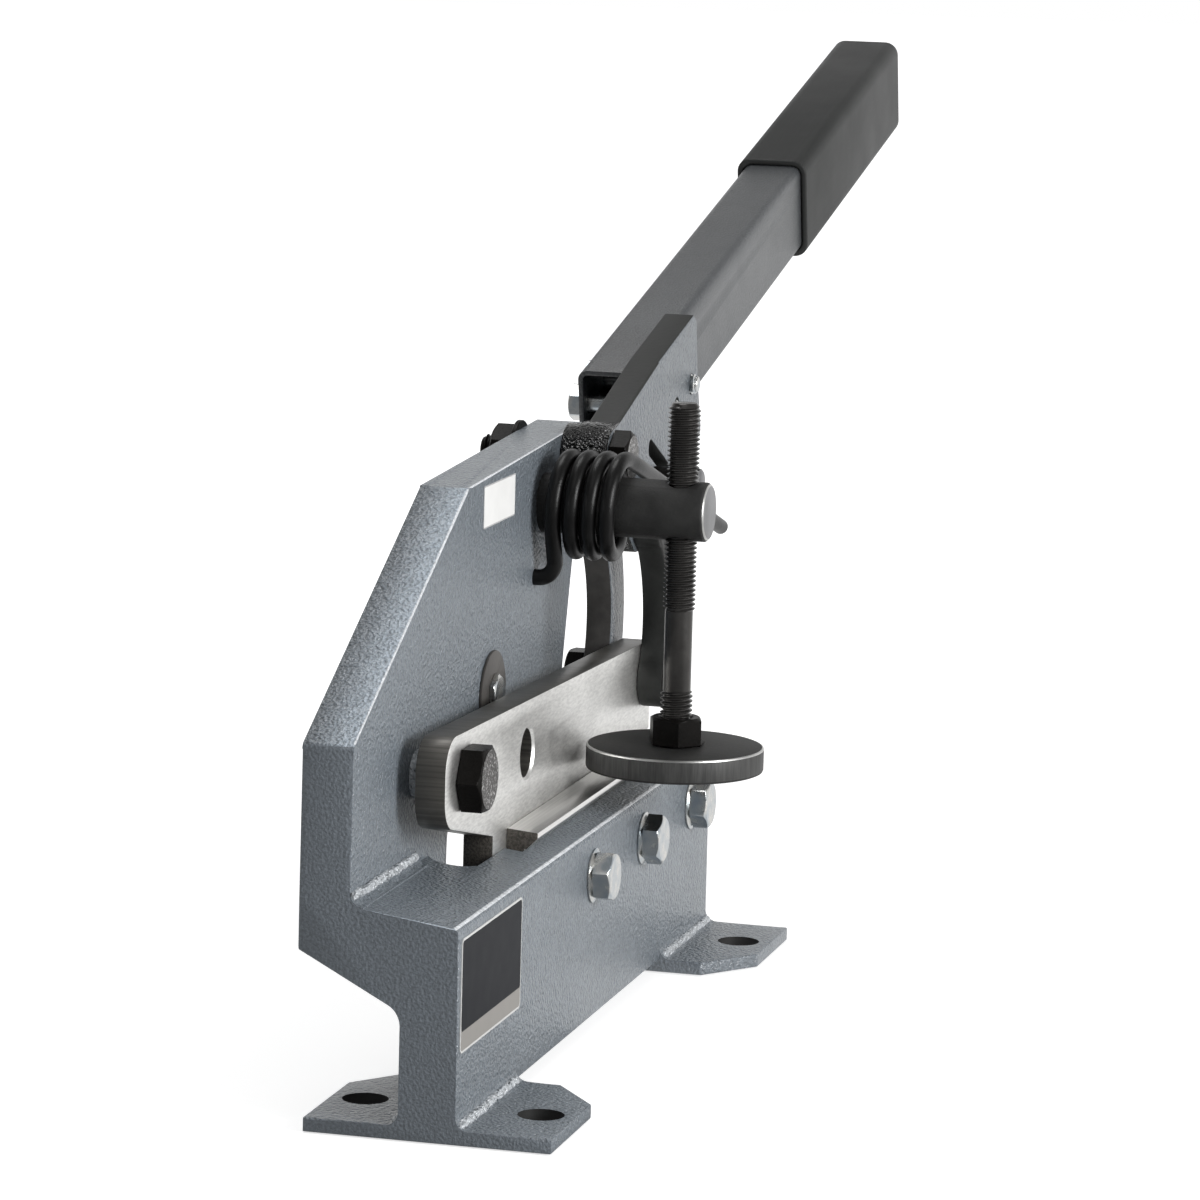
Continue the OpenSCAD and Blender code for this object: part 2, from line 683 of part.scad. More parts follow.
module blade_outline() union() {
    hull() {
        corner(blade_x0 + blade_corner_r, blade_near_z1 - blade_corner_r, blade_corner_r);
        corner(blade_x0 + blade_corner_r, blade_near_z0 + blade_corner_r, blade_corner_r);
        corner(blade_top_x - blade_far_r, blade_top_z - blade_far_r, blade_far_r);
        polygon([[step_x, step_z], [blade_top_x, blade_top_z], [blade_top_x, step_z]]);
    }
    hull() {
        corner(blade_x1 - blade_far_r, blade_far_z - blade_far_r, blade_far_r);
        polygon([[step_x, step_z], [blade_top_x, blade_top_z], [blade_x1, edge_far_z], [step_x, heel_z]]);
    }
}

module moving_blade() color([0.62, 0.63, 0.64]) placed() difference() {
    slab(blade_y, blade_y1) blade_outline();
    round_y(pivot_x, pivot_z, 0, web_l, pivot_r + run_clear);
    round_y(plain_hole_x, plain_hole_z, 0, web_l, plain_hole_d / 2);
    round_y(lo_x, lo_z, 0, web_l, lo_bolt_r + run_clear);
}

module plate_outline() union() {
    hull() {
        translate([lever_x, lever_z]) circle(hub_r);
        translate([up_x, up_z]) circle(hub_r);
        translate([plate_f_x, plate_f_z]) circle(plate_f_r, $fn = corner_fn);
    }
    polygon([[up_x, up_z], [plate_f_x, plate_f_z], [plate_f_x + plate_f_r, plate_f_z],
        [plate_e_x, plate_e_z], [plate_d_x, plate_d_z], [plate_c_x, plate_c_z],
        [plate_b_x, plate_b_z], [plate_a_x, plate_a_z], [lever_x, lever_z]]);
}

module lever_plate() color([0.42, 0.47, 0.53]) placed() difference() {
    slab(lever_y, lever_y1) plate_outline();
    round_y(lever_x, lever_z, 0, web_l, lever_bolt_r + run_clear);
    round_y(up_x, up_z, 0, web_l, up_pin_r + up_slack);
    round_y(tube_bolt_x0, tube_bolt_z0, 0, web_l, tube_bolt_r + bolt_clear);
    round_y(tube_bolt_x1, tube_bolt_z1, 0, web_l, tube_bolt_r + bolt_clear);
    slab(0, web_l) hull() {
        translate([slot_x0, slot_z0]) circle(d = slot_w);
        translate([slot_x1, slot_z1]) circle(d = slot_w);
    }
}

module lever_tube() color([0.42, 0.47, 0.53]) placed() difference() {
    on_tube() run(0, tube_l) difference() {
        round_rect(tube_w, tube_h, tube_r);
        round_rect(tube_w - 2 * tube_wall, tube_h - 2 * tube_wall, tube_r - tube_wall);
    }
    round_y(tube_bolt_x0, tube_bolt_z0, 0, web_l, tube_bolt_r + bolt_clear);
    round_y(tube_bolt_x1, tube_bolt_z1, 0, web_l, tube_bolt_r + bolt_clear);
}

module grip() color([0.1, 0.1, 0.11]) placed() on_tube() difference() {
    run(grip_s, tube_l + grip_gap + grip_cap)
        round_rect(tube_w + 2 * (grip_gap + grip_wall), tube_h + 2 * (grip_gap + grip_wall), grip_r);
    run(grip_s - cut_over, tube_l + grip_gap)
        round_rect(tube_w + 2 * grip_gap, tube_h + 2 * grip_gap, tube_r + grip_gap);
}

module tube_bolts() color([0.74, 0.75, 0.74]) placed() {
    union() {
        hex_y(tube_bolt_x0, tube_bolt_z0, tube_y1, tube_y1 + tube_bolt_h, tube_bolt_af, 30);
        round_y(tube_bolt_x0, tube_bolt_z0, lever_y, tube_y1 + tube_bolt_h / 2, tube_bolt_r);
    }
    union() {
        hex_y(tube_bolt_x1, tube_bolt_z1, tube_y1, tube_y1 + tube_bolt_h, tube_bolt_af, 30);
        round_y(tube_bolt_x1, tube_bolt_z1, lever_y - tube_bolt_end, tube_y1 + tube_bolt_h / 2, tube_bolt_r);
    }
}

module spring_peg() color([0.16, 0.16, 0.17]) placed() union() {
    round_y(peg_x, peg_z, lever_y - peg_l + peg_c, lever_y, peg_r);
    translate([peg_x, lever_y - peg_l + peg_c, peg_z]) rotate([90, 0, 0])
        cylinder(h = peg_c, r1 = peg_r, r2 = peg_r - peg_c);
}

module link_outline() difference() {
    union() {
        polygon(concat(
            [for (i = [0 : bow_steps]) let(a = bow_a0 + (bow_a1 - bow_a0) * i / bow_steps)
                [bow_x + (link_bow_r + link_half) * cos(a), bow_z + (link_bow_r + link_half) * sin(a)]],
            [for (i = [bow_steps : -1 : 0]) let(a = bow_a0 + (bow_a1 - bow_a0) * i / bow_steps)
                [bow_x + (link_bow_r - link_half) * cos(a), bow_z + (link_bow_r - link_half) * sin(a)]]));
        translate([up_x, up_z]) circle(link_end_r);
        translate([lo_x, lo_z]) circle(link_end_r);
    }
    translate([up_x, up_z]) circle(up_pin_r + bolt_clear);
    translate([lo_x, lo_z]) circle(lo_bolt_r + bolt_clear);
}

module link_front() color([0.13, 0.13, 0.14]) placed() slab(link_front_y, web_t) link_outline();

module link_rear() color([0.13, 0.13, 0.14]) placed() slab(link_rear_y, link_rear_y1) link_outline();

module link_pin() color([0.13, 0.13, 0.14]) placed() union() {
    round_y(up_x, up_z, link_front_y, link_rear_y1 + up_head_h / 2, up_pin_r);
    round_y(up_x, up_z, link_rear_y1, link_rear_y1 + up_head_h, up_head_r);
}

module link_bolt() color([0.13, 0.13, 0.14]) placed() {
    union() {
        hex_y(lo_x, lo_z, link_front_y - lo_head_h, link_front_y, lo_af, 0);
        round_y(lo_x, lo_z, link_front_y - lo_head_h / 2, link_rear_y1 + lo_nut_h + cut_over, lo_bolt_r);
    }
    difference() {
        hex_y(lo_x, lo_z, link_rear_y1, link_rear_y1 + lo_nut_h, lo_af, 0);
        round_y(lo_x, lo_z, 0, web_l, lo_bolt_r + bolt_clear);
    }
}

module clamp_pad() color([0.18, 0.18, 0.19]) placed() difference() {
    translate([bar_x, rod_y, pad_z]) cylinder(h = pad_t, r = pad_r);
    translate([bar_x, rod_y, pad_z + pad_floor]) cylinder(h = pad_t, r = rod_r + run_clear);
}

module clamp_rod() color([0.2, 0.2, 0.21]) placed() union() {
    translate([bar_x, rod_y, rod_thread_z]) cylinder(h = rod_top_z - rod_thread_z, r = rod_r);
    translate([bar_x, rod_y, shank_z]) cylinder(h = rod_thread_z - shank_z, r = shank_r);
    translate([bar_x, rod_y, pad_z + pad_floor + side_clear / 2])
        cylinder(h = shank_z - pad_z - pad_floor - side_clear / 2, r = rod_r);
}

module clamp_nut() color([0.2, 0.2, 0.21]) placed() difference() {
    translate([bar_x, rod_y, pad_z + pad_t + side_clear / 2])
        cylinder(h = clamp_nut_h, r = clamp_af / sqrt(3), $fn = 6);
    translate([bar_x, rod_y, 0]) cylinder(h = bar_z, r = rod_r + bolt_clear);
}

web();
shelf();
arm();
foot_near();
foot_far();
lower_blade();
blade_bolts();
crossbar();
spring();
guide_disc();
guide_bolt();
lever_bolt();
lever_nut();
lever_spacer();
pivot_bolt();
pivot_nut();
pivot_spacer();
moving_blade();
lever_plate();
lever_tube();
grip();
tube_bolts();
spring_peg();
link_front();
link_rear();
link_pin();
link_bolt();
clamp_pad();
clamp_rod();
clamp_nut();
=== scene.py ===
"""The looks of a bench lever shear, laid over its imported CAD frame.

Every piece is made at its place: lengths below are millimetres, counted along the web
from its near end (x), from its front face to the rear (y) and up from the bench (z).
"""

import math

import bmesh
import bpy
from mathutils import Matrix, Vector, noise


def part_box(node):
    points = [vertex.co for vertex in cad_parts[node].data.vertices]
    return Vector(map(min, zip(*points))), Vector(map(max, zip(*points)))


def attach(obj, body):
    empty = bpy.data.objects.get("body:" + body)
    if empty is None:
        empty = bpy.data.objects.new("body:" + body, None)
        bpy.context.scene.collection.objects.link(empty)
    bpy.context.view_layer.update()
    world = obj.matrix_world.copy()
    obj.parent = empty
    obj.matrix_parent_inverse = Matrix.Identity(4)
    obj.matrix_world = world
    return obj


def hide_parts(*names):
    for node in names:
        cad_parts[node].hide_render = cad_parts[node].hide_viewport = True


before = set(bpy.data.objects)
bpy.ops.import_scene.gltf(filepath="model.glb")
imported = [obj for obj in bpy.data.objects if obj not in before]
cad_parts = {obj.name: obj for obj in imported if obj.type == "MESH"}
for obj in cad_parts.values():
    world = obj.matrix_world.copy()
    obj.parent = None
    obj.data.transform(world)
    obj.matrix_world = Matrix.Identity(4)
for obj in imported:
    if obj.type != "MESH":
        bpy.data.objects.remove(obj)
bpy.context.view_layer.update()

bl_info = {
    "name": "Bench lever shear",
    "version": (1, 0, 0),
    "blender": (4, 5, 0),
    "location": "View3D > Sidebar > Shear",
    "description": "Builds the looks of a bench lever shear on its CAD frame",
    "category": "Object",
}

MM = 0.001
X_AXIS = Vector((1, 0, 0))
Y_AXIS = Vector((0, 1, 0))
Z_AXIS = Vector((0, 0, 1))
MATERIALS = {}
NEAR_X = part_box("web")[0].x
FAR_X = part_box("web")[1].x
REAR_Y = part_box("shelf")[0].y
MID_Y = (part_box("foot_near")[0].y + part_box("foot_near")[1].y) / 2
FRONT_Y = 2 * MID_Y - REAR_Y
WEB_T = (REAR_Y - FRONT_Y) / MM
WEB_L = (FAR_X - NEAR_X) / MM


def at(x, y, z):
    """A point of the machine, in millimetres from the web's near end and front face, in metres."""
    return Vector((NEAR_X + x * MM, FRONT_Y + y * MM, z * MM))


def sides(node):
    """The box of a CAD node in the machine's millimetres: x0, x1, y0, y1, z0, z1."""
    lo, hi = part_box(node)
    return (
        (lo.x - NEAR_X) / MM, (hi.x - NEAR_X) / MM,
        (lo.y - FRONT_Y) / MM, (hi.y - FRONT_Y) / MM,
        lo.z / MM, hi.z / MM,
    )


def middle(node):
    """The middle of a CAD node's box, in the machine's millimetres."""
    x0, x1, y0, y1, z0, z1 = sides(node)
    return (x0 + x1) / 2, (y0 + y1) / 2, (z0 + z1) / 2


# Settings of the add-on


class ShearPaint(bpy.types.PropertyGroup):
    frame_colour: bpy.props.FloatVectorProperty(
        name="Frame paint", description="Colour of the frame's hammertone paint",
        subtype="COLOR", size=3, min=0, max=1, default=(0.144, 0.165, 0.187))
    handle_colour: bpy.props.FloatVectorProperty(
        name="Handle paint", description="Colour of the lever plate and the tube",
        subtype="COLOR", size=3, min=0, max=1, default=(0.054, 0.058, 0.062))
    peel: bpy.props.FloatProperty(
        name="Orange peel", description="Depth of the paint's texture",
        default=0.00045, min=0, max=0.001, unit="LENGTH", precision=5)
    peel_scale: bpy.props.FloatProperty(
        name="Peel cells per metre", description="How fine the paint's texture is",
        default=780, min=100, max=1500)


class ShearEdges(bpy.types.PropertyGroup):
    cast_radius: bpy.props.FloatProperty(
        name="Frame edges", description="Rounding of the welded frame's edges",
        default=0.0006, min=0.0002, max=0.003, unit="LENGTH", precision=4)
    crown: bpy.props.FloatProperty(
        name="Arm crown", description="How far the arm's near faces fall off to their corners",
        default=0.0009, min=0, max=0.002, unit="LENGTH", precision=4)
    plate_radius: bpy.props.FloatProperty(
        name="Plate edges", description="Rounding of the cut plates' edges",
        default=0.0006, min=0.0001, max=0.002, unit="LENGTH", precision=4)
    machined_radius: bpy.props.FloatProperty(
        name="Machined edges", description="Rounding of machined edges",
        default=0.0003, min=0.0001, max=0.001, unit="LENGTH", precision=4)


class ShearThreads(bpy.types.PropertyGroup):
    rod_pitch: bpy.props.FloatProperty(
        name="Rod pitch", description="Pitch of the hold-down rod's thread",
        default=0.00175, min=0.001, max=0.003, unit="LENGTH", precision=5)
    bolt_pitch: bpy.props.FloatProperty(
        name="Bolt pitch", description="Pitch of the bolts' threads",
        default=0.0015, min=0.001, max=0.003, unit="LENGTH", precision=5)
    weld_pitch: bpy.props.FloatProperty(
        name="Weld ripples", description="Length of one ripple of a weld bead",
        default=0.0028, min=0.001, max=0.006, unit="LENGTH", precision=4)


class ShearStage(bpy.types.PropertyGroup):
    focal: bpy.props.FloatProperty(
        name="Focal length", description="Focal length in millimetres on a 36 mm sensor",
        default=161.4, min=20, max=400)
    yaw: bpy.props.FloatProperty(
        name="Yaw", description="Heading of the camera, from the X axis",
        default=math.radians(14.64), subtype="ANGLE")
    pitch: bpy.props.FloatProperty(
        name="Pitch", description="Pitch of the camera, down is negative",
        default=math.radians(-8.94), subtype="ANGLE")
    roll: bpy.props.FloatProperty(
        name="Roll", description="Roll of the camera",
        default=math.radians(1.54), subtype="ANGLE")
    key: bpy.props.FloatProperty(
        name="Key lamp", description="Watts of the lamp above the near end", default=2.2, min=0, max=500)
    fill: bpy.props.FloatProperty(
        name="Fill lamp", description="Watts of the low lamp in front", default=24, min=0, max=500)
    rim: bpy.props.FloatProperty(
        name="Rim lamp", description="Watts of the lamp above the far end", default=6, min=0, max=500)
    sky: bpy.props.FloatProperty(
        name="Sky", description="Strength of the even light from all round", default=0.335, min=0,
        max=2)


# Materials


def new_material(name, colour, rough, metal, specular=0.5):
    """A principled material; returns it with its node tree and its shader."""
    mat = bpy.data.materials.new(name)
    mat.use_nodes = True
    tree = mat.node_tree
    shader = tree.nodes["Principled BSDF"]
    shader.inputs["Base Color"].default_value = (*colour, 1)
    shader.inputs["Roughness"].default_value = rough
    shader.inputs["Metallic"].default_value = metal
    shader.inputs["Specular IOR Level"].default_value = specular
    mat.diffuse_color = (*colour, 1)
    return mat, tree, shader


def coordinates(tree, stretch=(1, 1, 1), turn=(0, 0, 0)):
    """Object coordinates, turned and then stretched."""
    source = tree.nodes.new("ShaderNodeTexCoord")
    turned = tree.nodes.new("ShaderNodeMapping")
    turned.inputs["Rotation"].default_value = turn
    mapping = tree.nodes.new("ShaderNodeMapping")
    mapping.inputs["Scale"].default_value = stretch
    tree.links.new(source.outputs["Object"], turned.inputs["Vector"])
    tree.links.new(turned.outputs["Vector"], mapping.inputs["Vector"])
    return mapping.outputs["Vector"]


def noise_node(tree, vector, scale, detail, rough):
    """A cloud of values round one half."""
    node = tree.nodes.new("ShaderNodeTexNoise")
    node.inputs["Scale"].default_value = scale
    node.inputs["Detail"].default_value = detail
    node.inputs["Roughness"].default_value = rough
    tree.links.new(vector, node.inputs["Vector"])
    return node.outputs["Fac"]


def cells_node(tree, vector, scale, smooth=0.6):
    """Round cells: the distance from the middle of the nearest one."""
    node = tree.nodes.new("ShaderNodeTexVoronoi")
    node.feature = "SMOOTH_F1"
    node.inputs["Scale"].default_value = scale
    node.inputs["Smoothness"].default_value = smooth
    tree.links.new(vector, node.inputs["Vector"])
    return node.outputs["Distance"]


def ramp(tree, value, low, high, a, b):
    """Blends two colours over a value between a and b."""
    node = tree.nodes.new("ShaderNodeValToRGB")
    node.color_ramp.elements[0].position = a
    node.color_ramp.elements[0].color = (*low, 1)
    node.color_ramp.elements[1].position = b
    node.color_ramp.elements[1].color = (*high, 1)
    tree.links.new(value, node.inputs["Fac"])
    return node.outputs["Color"]


def spread(tree, value, low, high):
    """Maps a value from 0..1 to low..high."""
    node = tree.nodes.new("ShaderNodeMapRange")
    node.inputs["To Min"].default_value = low
    node.inputs["To Max"].default_value = high
    tree.links.new(value, node.inputs["Value"])
    return node.outputs["Result"]


def bump(tree, shader, height, depth, strength=1.0, below=None):
    """Adds a bump of a real depth in metres, on top of another bump where one is given."""
    node = tree.nodes.new("ShaderNodeBump")
    node.inputs["Strength"].default_value = strength
    node.inputs["Distance"].default_value = depth
    tree.links.new(height, node.inputs["Height"])
    if below is not None:
        tree.links.new(below, node.inputs["Normal"])
    tree.links.new(node.outputs["Normal"], shader.inputs["Normal"])
    return node.outputs["Normal"]


def smooth_range(tree, value, start, stop, low, high):
    """A soft step between two levels."""
    blend = tree.nodes.new("ShaderNodeMapRange")
    blend.interpolation_type = "SMOOTHSTEP"
    blend.inputs["From Min"].default_value = start
    blend.inputs["From Max"].default_value = stop
    blend.inputs["To Min"].default_value = low
    blend.inputs["To Max"].default_value = high
    tree.links.new(value, blend.inputs["Value"])
    return blend.outputs["Result"]


def math_node(tree, operation, a, b):
    """One sum of two values, each a socket or a plain number."""
    node = tree.nodes.new("ShaderNodeMath")
    node.operation = operation
    for value, socket in ((a, node.inputs[0]), (b, node.inputs[1])):
        if isinstance(value, (int, float)):
            socket.default_value = value
        else:
            tree.links.new(value, socket)
    return node.outputs[0]


def parts_of(tree, vector):
    """The X, Y and Z of a vector."""
    split = tree.nodes.new("ShaderNodeSeparateXYZ")
    tree.links.new(vector, split.inputs["Vector"])
    return split.outputs


def shade(colour, factor):
    """A colour made lighter or darker by a factor."""
    return tuple(min(1, c * factor) for c in colour)


# Painted highlight on the arm's near slope: tone gains from front to rear, and gains on the peel's cells
# for painted glints.
SLOPE_HIGHLIGHT_GAINS = (2.4, 0.9)
SLOPE_GLINT_DOTS = (1.22, 0.74)


def paint_material(name, colour, rough, depth, scale, gains=None):
    """Thick enamel with a leathery orange peel, slightly uneven in tone and gloss.

    With two gains the tone's factor runs from the first at the arm's front face to the second at
    its rear face as a painted highlight, and the peel's cells show in it as painted glints.
    """
    mat, tree, shader = new_material(name, colour, rough, 0.0, 0.8)
    plain = coordinates(tree)
    hollows = noise_node(tree, plain, scale * 0.95, 2, 0.5)
    tone = ramp(tree, hollows, shade(colour, 0.84), shade(colour, 1.16), 0.36, 0.66)
    cells = cells_node(tree, plain, scale)
    # Where gains are given: a painted highlight across the arm, with painted glints on the peel.
    if gains:
        front, rear = (at(0, y, 0).y for y in sides("arm")[2:4])
        run = smooth_range(tree, parts_of(tree, plain)["Y"], front, rear, *gains)
        scaled = tree.nodes.new("ShaderNodeVectorMath")
        scaled.operation = "SCALE"
        tree.links.new(tone, scaled.inputs[0])
        dots = math_node(tree, "MULTIPLY", run, spread(tree, cells, *SLOPE_GLINT_DOTS))
        tree.links.new(dots, scaled.inputs["Scale"])
        tone = scaled.outputs["Vector"]
    tree.links.new(tone, shader.inputs["Base Color"])
    gloss = noise_node(tree, plain, 55, 3, 0.5)
    tree.links.new(spread(tree, gloss, rough - 0.06, rough + 0.06), shader.inputs["Roughness"])
    pebbles = spread(tree, cells, 1, 0)
    soft = bump(tree, shader, hollows, depth * 2.4)
    bump(tree, shader, pebbles, depth, 1.0, soft)
    return mat


def steel_material(name, colour, rough, stretch, depth, contrast, metal=1.0):
    """Steel with fine lines: the texture is stretched along the lines' own direction."""
    mat, tree, shader = new_material(name, colour, rough, metal)
    lines = noise_node(tree, coordinates(tree, stretch), 1.0, 3, 0.65)
    tone = ramp(tree, lines, shade(colour, 1 - contrast), shade(colour, 1 + contrast), 0.35, 0.65)
    tree.links.new(tone, shader.inputs["Base Color"])
    cloud = noise_node(tree, coordinates(tree), 60, 3, 0.5)
    tree.links.new(spread(tree, cloud, rough - 0.06, rough + 0.10), shader.inputs["Roughness"])
    bump(tree, shader, lines, depth, 0.6)
    return mat


def oxide_material(name, colour, rough, grain, depth, metal=0.0, specular=0.35, ior=1.5):
    """Black oxide or dark bare steel with a fine grain."""
    mat, tree, shader = new_material(name, colour, rough, metal, specular)
    shader.inputs["IOR"].default_value = ior
    plain = coordinates(tree)
    cloud = noise_node(tree, plain, 90, 4, 0.6)
    tone = ramp(tree, cloud, shade(colour, 0.75), shade(colour, 1.35), 0.35, 0.7)
    tree.links.new(tone, shader.inputs["Base Color"])
    tree.links.new(spread(tree, cloud, rough - 0.08, rough + 0.10), shader.inputs["Roughness"])
    fine = noise_node(tree, plain, grain, 3, 0.6)
    bump(tree, shader, fine, depth, 0.7)
    return mat


def torn_material(name, colour):
    """A torn steel edge: an even dark grain with small bright facets."""
    mat, tree, shader = new_material(name, colour, 0.5, 0.3)
    plain = coordinates(tree)
    grain = noise_node(tree, plain, 1200, 3, 0.6)
    tone = ramp(tree, grain, shade(colour, 0.6), shade(colour, 1.5), 0.38, 0.62)
    tree.links.new(tone, shader.inputs["Base Color"])
    bump(tree, shader, grain, 0.0003)
    return mat


def glinting_material(name, colour, glint):
    """A rough forged face: nearly black, with small painted glints in its colour."""
    mat, tree, shader = new_material(name, colour, 0.30, 0.6)
    grain = noise_node(tree, coordinates(tree), 950, 2, 0.7)
    # Painted glints: bright specks in the base colour.
    tree.links.new(ramp(tree, grain, colour, glint, 0.54, 0.68), shader.inputs["Base Color"])
    bump(tree, shader, grain, 0.0006)
    return mat


def beaded_material(name, colour):
    """A flame-cut edge under black paint: coarse glossy beads with deep seams between them, painted
    shade in the seams and painted light on the bead tops.
    """
    mat, tree, shader = new_material(name, colour, 0.14, 0.0, 0.6)
    plain = coordinates(tree)
    beads = cells_node(tree, plain, 820, 0.2)
    # Painted shade: the tone darkens into the seams and lightens on the bead tops.
    tone = ramp(tree, beads, shade(colour, 1.4), shade(colour, 0.2), 0.2, 0.7)
    tree.links.new(tone, shader.inputs["Base Color"])
    rough = noise_node(tree, plain, 420, 3, 0.6)
    soft = bump(tree, shader, rough, 0.0004)
    bump(tree, shader, spread(tree, beads, 1, 0), 0.0014, 1.0, soft)
    return mat


def zinc_material(name):
    """Bright zinc plate with a faint blue and yellow cast."""
    mat, tree, shader = new_material(name, (0.70, 0.72, 0.72), 0.24, 1.0)
    plain = coordinates(tree)
    cloud = noise_node(tree, plain, 160, 3, 0.5)
    tone = ramp(tree, cloud, (0.40, 0.44, 0.47), (0.63, 0.62, 0.59), 0.35, 0.65)
    tree.links.new(tone, shader.inputs["Base Color"])
    tree.links.new(spread(tree, cloud, 0.18, 0.34), shader.inputs["Roughness"])
    bump(tree, shader, noise_node(tree, plain, 900, 2, 0.5), 0.00004, 0.5)
    return mat


def film_material(name, colour):
    """A plain film: flat, matt and almost even."""
    mat, tree, shader = new_material(name, colour, 0.6, 0.0, 0.15)
    cloud = noise_node(tree, coordinates(tree), 120, 3, 0.5)
    tone = ramp(tree, cloud, shade(colour, 0.97), shade(colour, 1.03), 0.3, 0.7)
    tree.links.new(tone, shader.inputs["Base Color"])
    tree.links.new(spread(tree, cloud, 0.55, 0.65), shader.inputs["Roughness"])
    return mat


GRIP_SLOPE = math.radians(12.9)


def sleeve_material(name, colour):
    """The grip's smooth dark plastic, with a faint drawn grain along it."""
    mat, tree, shader = new_material(name, colour, 0.5, 0.0, 0.3)
    along = coordinates(tree, (25, 900, 900), (0, GRIP_SLOPE, 0))
    grain = noise_node(tree, along, 1.0, 2, 0.5)
    tone = ramp(tree, grain, shade(colour, 0.93), shade(colour, 1.08), 0.3, 0.7)
    tree.links.new(tone, shader.inputs["Base Color"])
    cloud = noise_node(tree, coordinates(tree), 40, 3, 0.5)
    tree.links.new(spread(tree, cloud, 0.44, 0.58), shader.inputs["Roughness"])
    bump(tree, shader, grain, 0.00003, 0.5)
    return mat


def make_materials():
    """All the materials by short names."""
    paint = bpy.context.scene.shear_paint
    coat, handle = tuple(paint.frame_colour), tuple(paint.handle_colour)
    peel, cells = paint.peel, paint.peel_scale
    lines_along_y = (820, 12, 820)
    lines_along_x = (16, 1400, 1400)
    short_lines = (240, 1100, 1100)
    lines_along_z = (700, 700, 60)
    return {
        "frame": paint_material("frame_paint", coat, 0.30, peel, cells),
        "frame_end": paint_material("frame_paint_end", coat, 0.34, peel * 0.45, cells * 1.25),
        # Near slope paint: a painted highlight, lighter towards the arm's front, with painted glints.
        "frame_slope_highlight": paint_material("frame_paint_slope", coat, 0.30, peel, cells, SLOPE_HIGHLIGHT_GAINS),
        # Light paint for the frame's upper front edges: painted highlight lines.
        "frame_edge_highlight": paint_material("thin_paint_edge", (0.62, 0.645, 0.67), 0.2, peel * 0.5, cells),
        "plate": paint_material("plate_paint", shade(coat, 0.72), 0.32, peel, cells),
        "lever_edge": oxide_material("lever_edge", (0.018, 0.019, 0.018), 0.5, 500, 0.00010, 0.0, 0.3),
        "handle": paint_material("handle_paint", handle, 0.40, peel * 0.25, cells * 1.5),
        # Light paint for weld beads and the pivot ring: painted highlight on the beads, painted light
        # over the ring's shade.
        "bead": paint_material("painted_bead", (0.47, 0.495, 0.52), 0.12, peel * 2, cells * 0.8),
        "ground": steel_material("ground_steel", (0.82, 0.81, 0.79), 0.30, lines_along_x, 0.00002,
                                 contrast=0.08),
        "forged": steel_material("blade_face", (0.76, 0.755, 0.735), 0.40, short_lines, 0.00006,
                                 contrast=0.12),
        "milled": steel_material("milled_edge", (0.095, 0.090, 0.081), 0.38, lines_along_y, 0.00010,
                                 contrast=0.3, metal=0.5),
        "torn": torn_material("torn_edge", (0.072, 0.065, 0.056)),
        # Flame-cut beads with painted shade in their seams.
        "beaded": beaded_material("flame_cut", (0.014, 0.014, 0.014)),
        "black": oxide_material("black_oxide", (0.006, 0.0055, 0.005), 0.34, 900, 0.00020, 0.0, 0.5,
                                1.16),
        "matt": oxide_material("matt_black", (0.022, 0.022, 0.0215), 0.58, 1000, 0.00024, 0.0, 0.3),
        "spring": oxide_material("spring_wire", (0.005, 0.005, 0.005), 0.34, 800, 0.00012, 0.0, 0.5,
                                 1.30),
        "thread": oxide_material("rolled_thread", (0.050, 0.048, 0.046), 0.22, 900, 0.00004, 0.6),
        # Dark forge scale with painted glints.
        "scale": glinting_material("forge_scale", (0.050, 0.046, 0.043), (0.62, 0.61, 0.60)),
        "washer": oxide_material("rolled_washer", (0.060, 0.056, 0.052), 0.42, 500, 0.00010, 0.2),
        "edge_steel": oxide_material("link_edge", (0.045, 0.043, 0.041), 0.55, 300, 0.00008, 0.0, 0.3),
        "pad": oxide_material("pad_steel", (0.026, 0.026, 0.025), 0.58, 900, 0.00016, 0.0, 0.2),
        "pad_side": steel_material("pad_side", (0.034, 0.034, 0.033), 0.55, lines_along_z, 0.0002,
                                   contrast=0.35, metal=0.0),
        "cut_end": oxide_material("cut_end", (0.14, 0.14, 0.144), 0.40, 500, 0.00006),
        # Light steel for chamfers and rims: painted highlight lines.
        "bright_edge": oxide_material("worn_edge", (0.42, 0.42, 0.41), 0.32, 500, 0.00004, 0.8),
        "zinc": zinc_material("zinc_plate"),
        "grip": sleeve_material("grip_plastic", (0.021, 0.022, 0.0215)),
        # Black for dark insides: painted shade in the foot holes.
        "inside": oxide_material("tube_inside", (0.012, 0.012, 0.012), 0.6, 300, 0.00005),
        "label": film_material("label_film", (0.012, 0.013, 0.016)),
        "label_foot": film_material("label_foot", (0.26, 0.25, 0.235)),
        "label_edge": film_material("label_border", (0.55, 0.55, 0.54)),
        "sticker": film_material("sticker_film", (0.70, 0.70, 0.69)),
        "sticker_edge": film_material("sticker_border", (0.40, 0.40, 0.40)),
    }


# Mesh helpers


def finish_piece(name, bm, body, mats, replaced, smooth):
    """Turns a bmesh into a piece that rides on a body and stands for its CAD nodes.

    Edges under the smooth angle, in degrees, are shaded smooth.
    """
    bmesh.ops.recalc_face_normals(bm, faces=bm.faces)
    mesh = bpy.data.meshes.new(name)
    for f in bm.faces:
        f.smooth = True
    limit = math.radians(smooth)
    for e in bm.edges:
        e.smooth = len(e.link_faces) == 2 and e.calc_face_angle(0) < limit
    bm.to_mesh(mesh)
    bm.free()
    piece = bpy.data.objects.new(name, mesh)
    bpy.context.scene.collection.objects.link(piece)
    for key in mats:
        mesh.materials.append(MATERIALS[key])
    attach(piece, body)
    if replaced:
        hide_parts(*replaced)


